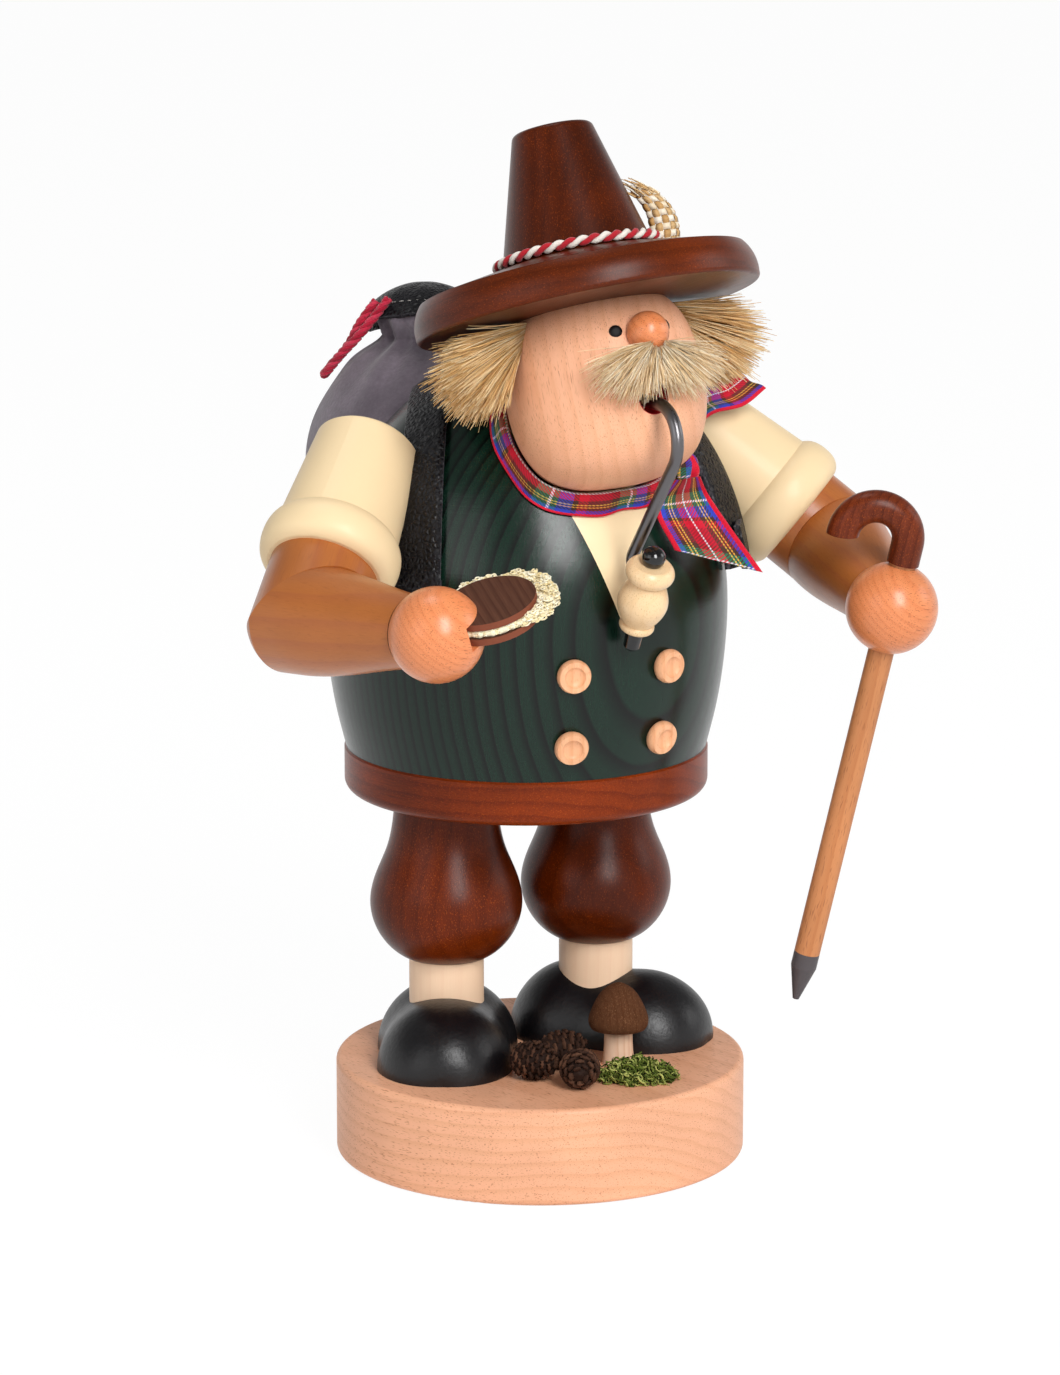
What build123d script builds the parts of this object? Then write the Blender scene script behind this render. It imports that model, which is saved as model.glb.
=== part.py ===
from build123d import *
import os
from math import cos, radians, sin, sqrt, tan

# Incense smoker: a turned wooden hiker whose upper half lifts off a burner plate.
# Millimetres. Origin: centre of the base's underside. +Z up, the figure faces -Y, its right hand is at -X.

# Base and lower half
base_radius = 52.5
base_height = 25.0
base_edge = 1.5
figure_back = 7.6
leg_spread = 21.8
leg_back = 2.5
leg_height = 69.0
stocking_radius = 9.6
stocking_sink = 5.0
breeches_foot = 26.2
breeches_radius = 19.5
breeches_belly = 40.8
breeches_top_radius = 13.3
shoe_toe_length = 31.0
shoe_heel_length = 22.0
shoe_toe_radius = 17.3
shoe_heel_radius = 18.0
shoe_waist_radius = 16.9
shoe_turn = {-1: -29.0, 1: 41.0}
leg_dowel_radius = 4.0
dowel_clearance = 0.05
glue_gap = 0.12
hip_radius = 46.5
hip_height = 11.5
hip_edge = 3.0
spigot_wall = 7.0
spigot_height = 7.0
lift_clearance = 0.1
air_hole_radius = 2.5
air_hole_circle = 20.5
burner_radius = 13.0
burner_sheet = 0.8
burner_rim = 1.8
screw_radius = 1.2
screw_length = 7.0

# Small things on the base
mushroom_place = (12.6, -19.0)
mushroom_stem_radius = 4.2
mushroom_stem_height = 9.5
mushroom_cap_radius = 7.6
mushroom_cap_height = 12.0
cone_radius = 5.0
cone_length = 12.0
cone_places = [(-13.4, -21.6, 35.0), (-6.4, -33.4, -30.0), (-2.2, -16.2, 80.0)]
moss_place = (9.8, -33.6)
moss_length = 20.0
moss_width = 11.0
moss_height = 6.0
moss_turn = -28.0

# Torso
torso_foot_radius = 46.1
belly_radius = 51.3
belly_height = 37.5
dome_height = 62.0
chamber_radius = 34.0
chamber_height = 62.0
chamber_crown = 18.0
button_radius = 4.3
button_thickness = 3.4
button_heights = (28.0, 9.6)
button_angle = 14.8

# Head, reached by a hollow neck dowel that leans forward out of the dome
neck_lean = 39.7
neck_radius = 6.0
neck_bore_radius = 3.5
neck_length = 34.0
head_stand = 12.4
head_lean_back = 19.0
head_roll = 3.0
head_radius = 24.6
head_top_radius = 19.0
head_height = 43.5
mouth_drop = 26.0
mouth_radius = 4.0
mouth_depth = 7.0
nose_radius = 5.2
nose_drop = 10.3
nose_turn = -2.5
nose_peg_radius = 1.5
nose_peg_length = 5.0
eye_radius = 1.7
eye_drop = 8.8
eye_angle = 17.2
eye_proud = 0.7
eye_peg_length = 2.0

# Bristle moustache and side hair
strand_width = 0.45
moustache_rays = 24
moustache_layers = 6
moustache_fan = 144.0
moustache_drop = 12.8
moustache_root = 5.0
moustache_strip = 2.0
moustache_lift = 1.0
moustache_layer_pitch = 0.75
moustache_length = 13.2
moustache_middle = 0.55
hair_columns = 11
hair_rows = 10
hair_pitch = 0.9
hair_length = 22.0
hair_spread = 0.7
hair_angle = 90.0
hair_drop = 5.2
hair_lean = 24.0
hair_backing = 1.6

# Hat
brim_radius = 43.0
brim_edge_height = 9.2
brim_height = 13.5
brim_edge = 1.3
brim_round = 2.3
crown_ledge = 0.6
crown_radius = 19.0
crown_top_radius = 9.9
crown_height = 32.9
crown_edge = 1.3
hat_dowel_radius = 4.0
hat_dowel_sink = 9.0
hat_cord_radius = 1.35
plume_thickness = 1.2
plume_roll = 4.4
plume_spread = 75.0
plume_height = 16.5
plume_lean = 0.2
plume_angle = -82.0

# Neckerchief
kerchief_reach = 4.4
kerchief_height = 2.6
kerchief_skin = 0.15
knot_radius = 4.4
knot_angle = 33.8
knot_rise = 0.215
knot_out = 2.8
ribbon_thickness = 0.7
front_tail_middle = (14.0, 7.6, 2.7)
front_tail_low = (17.8, 17.9, 2.4)
front_tail_width = (14.6, -3.3, 0.8)
front_tail_cut = (21.9, -6.3, -6.5)
back_tail_start = (62.0, 8.9, 10.8)
back_tail_across = (-0.8, 5.3, 7.0)
back_tail_middle = (12.6, 3.0, 1.9)
back_tail_width = (-5.8, 5.4, 8.2)
back_tail_tip = (20.0, 4.1, 5.8)
back_tail_cut = (-8.4, 6.5, 5.8)

# Arms: the shoulder stands off the dome, the elbow and hand are set off from it
shoulder_height = 80.0
shoulder_angle = {-1: 87.8, 1: 93.3}
shoulder_out = {-1: 8.0, 1: 8.7}
upper_reach = {-1: (-30.3, -28.0, -35.5), 1: (31.6, -23.6, -31.2)}
lower_reach = {-1: (13.6, -42.4, 2.6), 1: (-8.8, -44.4, -8.8)}
sleeve_radius = 13.2
sleeve_edge = 0.8
sleeve_end_radius = 15.3
sleeve_length = 40.0
cuff_radius = 17.6
cuff_length = 11.5
elbow_radius = 13.6
wrist_radius = 8.7
hand_radius = 11.6
arm_dowel_radius = 3.0
arm_dowel_length = 18.0
arm_dowel_inset = 4.5

# Sandwich in the right hand
bread_length = 22.8
bread_width = 20.6
bread_slice = 1.75
bread_filling_thickness = 2.35
bread_spill = 4.8
bread_reach = 14.2
bread_rise = 1.4
bread_bite = 5.9
bread_along = (0.924, -0.254, 0.285)
bread_up = (-0.34, -0.207, 0.917)

# Walking stick in the left hand
stick_radius = 3.3
stick_down = (-0.138, 0.187, -0.973)
stick_length = 94.0
stick_clearance = 0.1
crook_radius = 8.2
crook_section = 4.1
crook_gap = 0.35
crook_side = (-0.870, 0.435, 0.2316)
ferrule_length = 13.0
ferrule_point = 9.0

# Pipe hanging from the mouth
wire_radius = 1.55
wire_clearance = 0.05
wire_bend = 8.7
wire_foot_bend = 3.0
wire_sink = 6.5
pipe_reach = 21.0
pipe_drop = 42.4
pipe_inset = 34.0
bowl_lean = 24.6
bowl_radius = 6.3
bowl_forward = 7.8
bowl_drop = 7.2
flange_radius = 6.1
knob_radius = 2.9
tip_radius = 2.3
tip_length = 6.0

# Rucksack
bag_back = 56.4
bag_rise = 29.5
bag_radius = 31.5
bag_height = 80.0
bag_neck_radius = 11.0
bag_gap = 0.3
flap_thickness = 1.6
flap_radius = 17.5
flap_height = 14.0
flap_edge = 2.5
flap_tilt = 20.0
flap_turn = -28.0
strap_thickness = 1.6
strap_width = 11.0
strap_offset = 23.4
strap_stand = {-1: 0.0, 1: 4.0}
strap_turn = 121.5
strap_low = {-1: 40.0, 1: 47.0}
drawstring_radius = 1.1
drawstring_places = [
    (-12.9, -4.6, -0.9),
    (-19.6, -3.8, -9.0),
    (-23.2, 1.6, -15.0),
    (-25.6, 9.2, -22.6),
    (-22.2, 12.4, -20.8),
    (-19.2, 5.4, -13.8),
    (-19.0, 0.6, -7.6),
    (-14.9, -1.4, -1.9),
]

base_top = base_height
hip_bottom = base_top + leg_height
hip_top = hip_bottom + hip_height
belly_z = hip_top + belly_height
figure_axis = Vector(0, figure_back, 0)
far = 4 * (base_radius + base_height + dome_height)
pieces = {}


# Helpers


def lathe(*cuts):
    # Turn an outline of (radius, height) cuts about Z: a pair is a straight cut, a list of two points an
    # arc, and a longer list a smooth curve.
    at = cuts[0]
    edges = []
    for cut in cuts[1:]:
        through = [at] + cut if isinstance(cut, list) else [at, cut]
        if len(through) == 2:
            edges.append(Line(*through))
        elif len(through) == 3:
            edges.append(ThreePointArc(*through))
        else:
            edges.append(Spline(*through))
        at = through[-1]
    if at != cuts[0]:
        edges.append(Line(at, cuts[0]))
    return revolve(Plane.XZ * make_face(edges), Axis.Z)


def unit(x, y, z):
    return Vector(x, y, z).normalized()


def upright(axis, ahead):
    # A unit direction square to axis and as near to ahead as that allows.
    return (ahead - axis * axis.dot(ahead)).normalized()


def frame(origin, axis, ahead=Vector(0, -1, 0)):
    return Plane(origin=origin, x_dir=upright(axis, ahead), z_dir=axis)


def rod(start, end, radius):
    length = (end - start).length
    side = Vector(1, 0, 0) if abs((end - start).normalized().X) < 0.9 else Vector(0, 1, 0)
    return frame(start, (end - start).normalized(), side) * Cylinder(
        radius, length, align=(Align.CENTER, Align.CENTER, Align.MIN)
    )


def half_space(point, away):
    # A block that fills everything on the away side of a plane through point.
    side = Vector(1, 0, 0) if abs(away.X) < 0.9 else Vector(0, 1, 0)
    return frame(point, away.normalized(), side) * Box(
        far, far, far, align=(Align.CENTER, Align.CENTER, Align.MIN)
    )


def largest(form):
    return max(form.solids(), key=lambda solid: solid.volume)


def rounded_disc(radius, low, high, edge):
    slack = edge * (1 - cos(radians(45)))
    return lathe(
        (0, low),
        (radius - edge, low),
        [(radius - slack, low + slack), (radius, low + edge)],
        (radius, high - edge),
        [(radius - slack, high - slack), (radius - edge, high)],
        (0, high),
    )


def torso_radius(z):
    # The flank is an arc that leaves the widest ring upright, the dome a quarter of an ellipse.
    if z > belly_z:
        return belly_radius * sqrt(max(0.0, 1 - ((z - belly_z) / dome_height) ** 2))
    narrowing = belly_radius - torso_foot_radius
    flank = (narrowing**2 + belly_height**2) / (2 * narrowing)
    return belly_radius - flank + sqrt(flank**2 - (belly_z - z) ** 2)


def torso_form(grow):
    # The outside of the torso, swollen by grow.
    top = belly_z + dome_height
    heights = [hip_top + belly_height * share for share in (0, 0.25, 0.5, 0.75, 1)]
    heights += [belly_z + dome_height * sin(radians(angle)) for angle in (18, 36, 52, 66, 78)]
    outline = []
    for z in heights:
        way = torso_normal(0, z)
        outline.append((torso_radius(z) - grow * way.Y, z + grow * way.Z))
    outline[0] = (torso_radius(hip_top) + grow, hip_top)
    foot_way = (outline[1][0] - outline[0][0], outline[1][1] - outline[0][1])
    flank = Spline(*outline, (0, top + grow), tangents=[foot_way, (-1, 0)])
    edges = [Line((0, hip_top), outline[0]), flank, Line((0, top + grow), (0, hip_top))]
    return Pos(figure_axis) * revolve(Plane.XZ * make_face(edges), Axis.Z)


def torso_point(angle, z, out=0.0):
    # A point on the torso: angle 0 is the front, positive towards the figure's left.
    reach = torso_radius(z) + out
    return figure_axis + Vector(reach * sin(radians(angle)), -reach * cos(radians(angle)), z)


def torso_normal(angle, z):
    step = 0.5
    slope = (torso_radius(z + step) - torso_radius(z - step)) / (2 * step)
    return unit(sin(radians(angle)), -cos(radians(angle)), -slope)


# Base, legs and hip disc


def leg_point(side, z):
    return figure_axis + Vector(side * leg_spread, leg_back, z)


def leg_dowel(side, clearance):
    sink = base_height / 2
    return rod(
        leg_point(side, base_top - sink - clearance),
        leg_point(side, hip_bottom + hip_height * 0.6 + clearance),
        leg_dowel_radius + clearance,
    )


def base_disc():
    form = rounded_disc(base_radius, 0, base_height, base_edge)
    for side in (-1, 1):
        form = form - leg_dowel(side, dowel_clearance)
    return form


def shoe(side):
    waist = (shoe_toe_length - shoe_heel_length) / 3
    form = lathe(
        (0, -shoe_heel_length),
        [
            (shoe_heel_radius * 0.62, -shoe_heel_length * 0.87),
            (shoe_heel_radius, -shoe_heel_length * 0.4),
            (shoe_waist_radius, waist),
            (shoe_toe_radius, shoe_toe_length * 0.48),
            (shoe_toe_radius * 0.66, shoe_toe_length * 0.88),
            (0, shoe_toe_length),
        ],
    )
    turn = radians(shoe_turn[side])
    toe_way = Vector(sin(turn), -cos(turn), 0)
    placed = frame(leg_point(side, base_top), toe_way, Vector(0, 0, 1)) * form
    placed = placed - half_space(Vector(0, 0, base_top), Vector(0, 0, -1))
    socket = rod(
        leg_point(side, stocking_foot),
        leg_point(side, stocking_foot + base_height),
        stocking_radius + dowel_clearance,
    )
    return placed - socket - leg_dowel(side, dowel_clearance)


stocking_foot = base_top + shoe_waist_radius - stocking_sink
stocking_top = base_top + breeches_foot + stocking_sink


def stocking(side):
    form = rod(leg_point(side, stocking_foot), leg_point(side, stocking_top), stocking_radius)
    return form - leg_dowel(side, dowel_clearance)


def breeches(side):
    low = base_top + breeches_foot
    belly = base_top + breeches_belly
    high = hip_bottom
    bulge = breeches_radius - breeches_top_radius
    form = lathe(
        (0, low),
        (stocking_radius + 0.8, low),
        [
            (breeches_radius * 0.79, low + (belly - low) * 0.26),
            (breeches_radius * 0.965, low + (belly - low) * 0.68),
            (breeches_radius, belly),
            (breeches_top_radius + bulge * 0.72, belly + (high - belly) * 0.27),
            (breeches_top_radius + bulge * 0.31, belly + (high - belly) * 0.49),
            (breeches_top_radius + bulge * 0.06, belly + (high - belly) * 0.74),
            (breeches_top_radius, high),
        ],
        (0, high),
    )
    placed = Pos(leg_point(side, 0)) * form
    socket = rod(leg_point(side, low - 1), leg_point(side, stocking_top), stocking_radius + dowel_clearance)
    return placed - socket - leg_dowel(side, dowel_clearance)


def hip_disc():
    spigot = chamber_radius - lift_clearance
    slack = hip_edge * (1 - cos(radians(45)))
    bevel = hip_edge / 6
    form = lathe(
        (0, hip_bottom),
        (hip_radius - hip_edge, hip_bottom),
        [(hip_radius - slack, hip_bottom + slack), (hip_radius, hip_bottom + hip_edge)],
        (hip_radius, hip_top - bevel),
        (hip_radius - bevel, hip_top),
        (spigot, hip_top),
        (spigot, hip_top + spigot_height - bevel),
        (spigot - bevel, hip_top + spigot_height),
        (spigot - spigot_wall, hip_top + spigot_height),
        (spigot - spigot_wall, hip_top),
        (0, hip_top),
    )
    form = Pos(figure_axis) * form
    for way in (-1, 1):
        low = figure_axis + Vector(0, way * air_hole_circle, hip_bottom - 1)
        form = form - rod(low, low + Vector(0, 0, hip_height + 2), air_hole_radius)
    for side in (-1, 1):
        form = form - leg_dowel(side, dowel_clearance)
    return form - burner_screw_form(dowel_clearance)


def burner_plate():
    top = hip_top + burner_sheet
    lip = burner_radius * 0.12
    form = lathe(
        (0, hip_top),
        (burner_radius, hip_top),
        (burner_radius + lip, hip_top + burner_rim),
        (burner_radius + lip - burner_sheet, hip_top + burner_rim),
        (burner_radius - burner_sheet, top),
        (0, top),
    )
    return Pos(figure_axis) * form - burner_screw_form(dowel_clearance)


def burner_screw_form(clearance):
    seat = hip_top + burner_sheet
    head = screw_radius * 2
    form = lathe(
        (0, seat - screw_length - clearance),
        (screw_radius + clearance, seat - screw_length - clearance),
        (screw_radius + clearance, seat),
        (head, seat),
        [
            (head * 0.92, seat + screw_radius * 0.45),
            (head * 0.55, seat + screw_radius * 0.85),
            (0, seat + screw_radius),
        ],
    )
    return Pos(figure_axis) * form


# Mushroom, alder cones and moss


def mushroom_stem():
    foot = mushroom_stem_radius
    top = mushroom_stem_radius * 0.88
    form = lathe(
        (0, 0),
        (foot, 0),
        [(top, mushroom_stem_height * 0.5), (top, mushroom_stem_height)],
        (0, mushroom_stem_height),
    )
    return Pos(*mushroom_place, base_top) * form


def mushroom_cap():
    lip = mushroom_cap_height * 0.1
    form = lathe(
        (0, 0),
        (mushroom_cap_radius * 0.92, 0),
        [
            (mushroom_cap_radius, lip),
            (mushroom_cap_radius * 0.9, mushroom_cap_height * 0.42),
            (mushroom_cap_radius * 0.52, mushroom_cap_height * 0.82),
            (0, mushroom_cap_height),
        ],
    )
    return Pos(*mushroom_place, base_top + mushroom_stem_height) * form


def alder_cone(x, y, turn):
    form = lathe(
        (0, -cone_length / 2),
        [
            (cone_radius * 0.7, -cone_length * 0.42),
            (cone_radius, -cone_length * 0.05),
            (cone_radius * 0.68, cone_length * 0.36),
            (0, cone_length / 2),
        ],
    )
    way = unit(sin(radians(turn)), -cos(radians(turn)), 0)
    lying = frame(Vector(x, y, base_top + cone_radius), way, Vector(0, 0, 1))
    return lying * form - half_space(Vector(0, 0, base_top), Vector(0, 0, -1))


def moss_tuft():
    outline = Ellipse(moss_length / 2, moss_width / 2)
    crown = Pos(0, 0, moss_height) * Ellipse(moss_length * 0.36, moss_width * 0.3)
    return Pos(*moss_place, base_top) * Rot(0, 0, moss_turn) * loft([outline, crown])


# Torso, head and hat

neck_way = unit(0, -sin(radians(neck_lean)), cos(radians(neck_lean)))
dome_centre = figure_axis + Vector(0, 0, belly_z)
dome_reach = 1 / sqrt((neck_way.Y / belly_radius) ** 2 + (neck_way.Z / dome_height) ** 2)
mouth_centre = dome_centre + neck_way * (dome_reach + head_stand)
head_axis = unit(
    -sin(radians(head_roll)),
    sin(radians(head_lean_back)) * cos(radians(head_roll)),
    cos(radians(head_lean_back)) * cos(radians(head_roll)),
)
hat_seat = mouth_centre + head_axis * mouth_drop
head_frame = frame(hat_seat, head_axis)
face_way = head_frame.x_dir
side_way = head_axis.cross(face_way)


def head_outline(grow):
    # Radius and height of the egg-shaped head from its chin up to the hat, swollen by grow.
    waist = -head_height * 0.44
    shape = [
        (head_radius * 0.33, -head_height * 0.993),
        (head_radius * 0.57, -head_height * 0.956),
        (head_radius * 0.765, -head_height * 0.883),
        (head_radius * 0.895, -head_height * 0.77),
        (head_radius * 0.976, -head_height * 0.62),
        (head_radius, waist),
        (head_radius * 0.976, -head_height * 0.264),
        (head_radius * 0.907, -head_height * 0.115),
        (head_top_radius, 0),
    ]
    swollen = [(0, -head_height - grow)]
    for radius, height in shape:
        rise = (height - waist) / head_height * 1.6
        size = sqrt(radius**2 + (rise * head_radius) ** 2)
        swollen.append((radius + grow * radius / size, height + grow * rise * head_radius / size))
    swollen[-1] = (head_top_radius + grow, 0)
    return swollen


def head_form(grow):
    outline = head_outline(grow)
    return head_frame * lathe(outline[0], outline[1:], (0, 0))


def head_point(turn, drop, out=0.0):
    # A point on the head: turn 0 is the face, positive towards the figure's right; drop is below the hat.
    outline = head_outline(0)
    below = [pair for pair in outline if pair[1] <= -drop][-1]
    above = [pair for pair in outline if pair[1] > -drop][0]
    share = (-drop - below[1]) / (above[1] - below[1])
    radius = below[0] + share * (above[0] - below[0]) + out
    return hat_seat - head_axis * drop + head_way(turn) * radius


def head_way(turn):
    return face_way * cos(radians(turn)) - side_way * sin(radians(turn))


mouth_lip = head_point(0, mouth_drop)
wire_start = Vector(mouth_lip.X, mouth_lip.Y + mouth_depth + wire_sink, mouth_lip.Z - mouth_radius / 3)
forward = Vector(0, -1, 0)
neck_end = mouth_centre - neck_way * neck_bore_radius


def neck_dowel(clearance):
    return rod(
        neck_end - neck_way * (neck_length + clearance),
        neck_end + neck_way * clearance,
        neck_radius + clearance,
    )


def neck_tube():
    bore = rod(neck_end - neck_way * (neck_length + 1), neck_end + neck_way, neck_bore_radius)
    return neck_dowel(0) - bore - chamber()


def chamber():
    shoulder = chamber_height - chamber_crown
    form = lathe(
        (0, hip_top - 1),
        (chamber_radius, hip_top - 1),
        (chamber_radius, hip_top + shoulder),
        [
            (chamber_radius * 0.83, hip_top + shoulder + chamber_crown * 0.62),
            (chamber_radius / 2, hip_top + chamber_height),
        ],
        (0, hip_top + chamber_height),
    )
    return Pos(figure_axis) * form


def torso():
    form = torso_form(0) - chamber() - head_form(glue_gap) - neck_dowel(dowel_clearance)
    for side in (-1, 1):
        form = form - shoulder_dowel(side, dowel_clearance)
    return form


def nose_centre():
    return head_point(nose_turn, nose_drop, nose_radius * 0.35)


def nose_peg(clearance):
    inward = head_way(nose_turn) * -1
    return rod(
        nose_centre(),
        nose_centre() + inward * (nose_radius + nose_peg_length + clearance),
        nose_peg_radius + clearance,
    )


def nose():
    ball = Pos(nose_centre()) * Sphere(nose_radius)
    return ball - head_form(glue_gap) + nose_peg(0)


def eye_pin(turn, clearance):
    low = -eye_peg_length - clearance
    radius = eye_radius + clearance
    dome = [(radius * 0.9, eye_proud * 0.4), (radius * 0.5, eye_proud * 0.85), (0, eye_proud)]
    form = lathe((0, low), (radius, low), (radius, 0), dome)
    return frame(head_point(turn, eye_drop), head_way(turn), head_axis) * form


def head():
    form = head_form(0) - neck_dowel(dowel_clearance)
    mouth_end = mouth_lip - forward * mouth_depth
    form = form - rod(mouth_end, mouth_lip + forward * mouth_radius * 2, mouth_radius)
    pilot_end = wire_start + forward * (wire_sink + 1)
    form = form - rod(wire_start - forward * wire_clearance, pilot_end, wire_radius + wire_clearance)
    smoke_end = mouth_end + Vector(0, 0, mouth_radius / 2)
    form = form - rod(neck_end, smoke_end, neck_bore_radius * 0.7)
    form = form - nose_peg(dowel_clearance)
    for turn in (nose_turn + eye_angle, nose_turn - eye_angle):
        form = form - eye_pin(turn, dowel_clearance)
    return form - hat_dowel_form(dowel_clearance)


def hat_dowel_form(clearance):
    return rod(
        hat_seat - head_axis * (hat_dowel_sink + clearance),
        hat_seat + head_axis * (brim_height + hat_dowel_sink + clearance),
        hat_dowel_radius + clearance,
    )


def hat_brim():
    form = lathe(
        (0, 0),
        (brim_radius - brim_edge, 0),
        [(brim_radius - brim_edge * 0.25, brim_edge * 0.25), (brim_radius, brim_edge)],
        [
            (brim_radius - brim_round * 0.22, brim_edge_height * 0.65),
            (brim_radius - brim_round, brim_edge_height),
        ],
        (crown_radius + crown_ledge, brim_height),
        (0, brim_height),
    )
    return head_frame * form - hat_dowel_form(dowel_clearance)


def crown_radius_at(height):
    return crown_radius + (crown_top_radius - crown_radius) * (height - brim_height) / crown_height


def hat_crown():
    top = brim_height + crown_height
    shoulder = top - crown_edge
    form = lathe(
        (0, brim_height),
        (crown_radius, brim_height),
        (crown_radius_at(shoulder), shoulder),
        [
            (crown_top_radius - crown_edge * 0.25, top - crown_edge * 0.25),
            (crown_top_radius - crown_edge, top),
        ],
        (0, top + crown_edge * 0.4),
    )
    return head_frame * form - hat_dowel_form(dowel_clearance)


def hat_cord():
    height = brim_height + hat_cord_radius + glue_gap
    ring = crown_radius_at(height - hat_cord_radius) + hat_cord_radius + glue_gap
    return head_frame * Pos(0, 0, height) * Torus(ring, hat_cord_radius)


def hat_plume():
    # A rolled strip that stands on the brim beside the cord and leans along the crown.
    stand = crown_radius + 2 * hat_cord_radius + crown_ledge
    slope = (brim_height - brim_edge_height) / (brim_radius - brim_round - crown_radius - crown_ledge)
    foot = brim_height - (stand - crown_radius - crown_ledge) * slope + glue_gap
    radii = (plume_roll, plume_roll - plume_thickness)
    arcs = [CenterArc((0, 0), radius, -plume_spread, 2 * plume_spread) for radius in radii]
    ends = [Line(arcs[0] @ at, arcs[1] @ at) for at in (0, 1)]
    strip = extrude(make_face(arcs + ends), plume_height, unit(-plume_lean, 0, 1))
    return head_frame * Rot(0, 0, -plume_angle) * Pos(stand, 0, foot) * strip


# Bristles


def bristle(root, tip, across):
    # A four-sided strand from root to tip.
    way = (tip - root).normalized()
    square = frame(root, way, across) * Rectangle(strand_width, strand_width)
    return extrude(square, (tip - root).length, way)


def uneven(index, amount):
    # A fixed scatter of lengths between 1 - amount and 1.
    return 1 - amount * ((index * 0.618) % 1.0)


def moustache():
    # Bristles fan out below the nose from a curved strip; those above the mouth are shorter.
    centre = head_point(nose_turn, moustache_drop)
    out = head_way(nose_turn)
    flat = Vector(0, 0, 1).cross(out).normalized()
    down = flat.cross(out)
    strands = []
    for layer in range(moustache_layers):
        base = centre + out * (moustache_lift + layer * moustache_layer_pitch)
        for ray in range(moustache_rays):
            angle = radians(moustache_fan * ((ray + 0.5) / moustache_rays - 0.5))
            aside = abs(sin(angle))
            way = down * cos(angle) + flat * sin(angle) + out * (0.08 + 0.035 * layer - 0.18 * aside)
            length = moustache_length * (moustache_middle + (1 - moustache_middle) * aside)
            length = length * uneven(ray + layer * moustache_rays, 0.2)
            start = base + (down * cos(angle) + flat * sin(angle)) * moustache_root
            strands.append(bristle(start, start + way * length, out))
    inner = moustache_root - moustache_strip * 0.3
    first = -90 - moustache_fan / 2
    arcs = [CenterArc((0, 0), radius, first, moustache_fan) for radius in (inner, inner + moustache_strip)]
    ends = [Line(arcs[0] @ at, arcs[1] @ at) for at in (0, 1)]
    depth = moustache_lift + moustache_layers * moustache_layer_pitch
    strip = Plane(origin=centre, x_dir=flat, z_dir=out) * extrude(make_face(arcs + ends), depth)
    strip = strip - head_form(glue_gap)
    return strip.solid().fuse(*strands)


def side_hair(side):
    # A block of bristles on a slip of backing; the lower rows point further down.
    turn = -side * hair_angle
    out = head_way(turn)
    down = head_axis * -1
    lean = radians(hair_lean)
    normal = out * cos(lean) - down * sin(lean)
    root = head_point(turn, hair_drop) + normal * (hair_backing / 2)
    back = down.cross(out)
    fall = normal.cross(back)
    strands = []
    for column in range(hair_columns):
        for row in range(hair_rows):
            aside = (column + 0.5) / hair_columns - 0.5
            low = (row + 0.5) / hair_rows
            start = root + back * (aside * hair_columns * hair_pitch)
            start = start + fall * ((low - 0.5) * hair_rows * hair_pitch)
            way = out * (1 - 0.4 * low) + down * (0.12 + 0.68 * low) + back * (hair_spread * aside)
            length = hair_length * (1 - 0.2 * low) * uneven(column * hair_rows + row, 0.2)
            strands.append(bristle(start, start + way * length, back))
    width = hair_columns * hair_pitch
    height = hair_rows * hair_pitch
    slip = Plane(origin=root, x_dir=back, z_dir=normal) * Box(width, height, hair_backing)
    slip = slip - head_form(glue_gap)
    return slip.solid().fuse(*strands)


# Neckerchief


def neckerchief_band():
    ring = head_form(kerchief_reach) - head_form(glue_gap)
    shell = torso_form(kerchief_skin + kerchief_height) - torso_form(kerchief_skin)
    band = ring & shell
    return band - neckerchief_knot_form(glue_gap)


chin = hat_seat - head_axis * head_height
knot_place = torso_point(knot_angle, chin.Z + knot_rise, knot_out)


def neckerchief_knot_form(grow):
    return Pos(knot_place) * Sphere(knot_radius + grow)


def neckerchief_knot():
    return neckerchief_knot_form(0) - torso_form(kerchief_skin) - head_form(glue_gap)


def pleated(sections):
    # Ribbon lofted through folded sections: left end, right end, fold depth; the folds point forward.
    loops = []
    for left, right, depth, out in sections:
        across = right - left
        front = [left + across * (k / 4) + out * (depth * (k % 2)) for k in range(5)]
        rear = [point - out * ribbon_thickness for point in reversed(front)]
        loops.append(make_face(Polyline(*front, *rear, close=True)))
    return loft(loops, ruled=True)


def beside_knot(angle, rise, out):
    # A point off the torso, at a height given from the knot.
    return torso_point(angle, knot_place.Z + rise, out)


def neckerchief_front_tail():
    out = unit(-0.35, -0.9, 0.25)
    half = Vector(*front_tail_width) / 6
    top = knot_place + Vector(-0.4, -3.2, -knot_radius - 0.4)
    angle, fall, stand = front_tail_middle
    middle = beside_knot(angle, -fall, stand)
    angle, fall, stand = front_tail_low
    low = beside_knot(angle, -fall, stand)
    return pleated([
        (top - half, top + half, 1.5, out),
        (middle, middle + Vector(*front_tail_width), 1.6, out),
        (low, low + Vector(*front_tail_cut), 0.9, out),
    ])


def neckerchief_back_tail():
    # From the knot it rises behind the head, opens over the shoulder and ends in a slanted cut.
    out = unit(0.1, -0.79, 0.6)
    start = beside_knot(*back_tail_start)
    across = Vector(*back_tail_across)
    root = knot_place + (start - knot_place).normalized() * (knot_radius + 1.1) + out * 1.0
    middle = start + Vector(*back_tail_middle)
    tip = start + Vector(*back_tail_tip)
    return pleated([
        (root - across * 0.2, root + across * 0.25, 1.4, out),
        (start, start + across, 1.2, out),
        (middle, middle + Vector(*back_tail_width), 0.8, out),
        (tip, tip + Vector(*back_tail_cut), 0.6, out),
    ])


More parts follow.
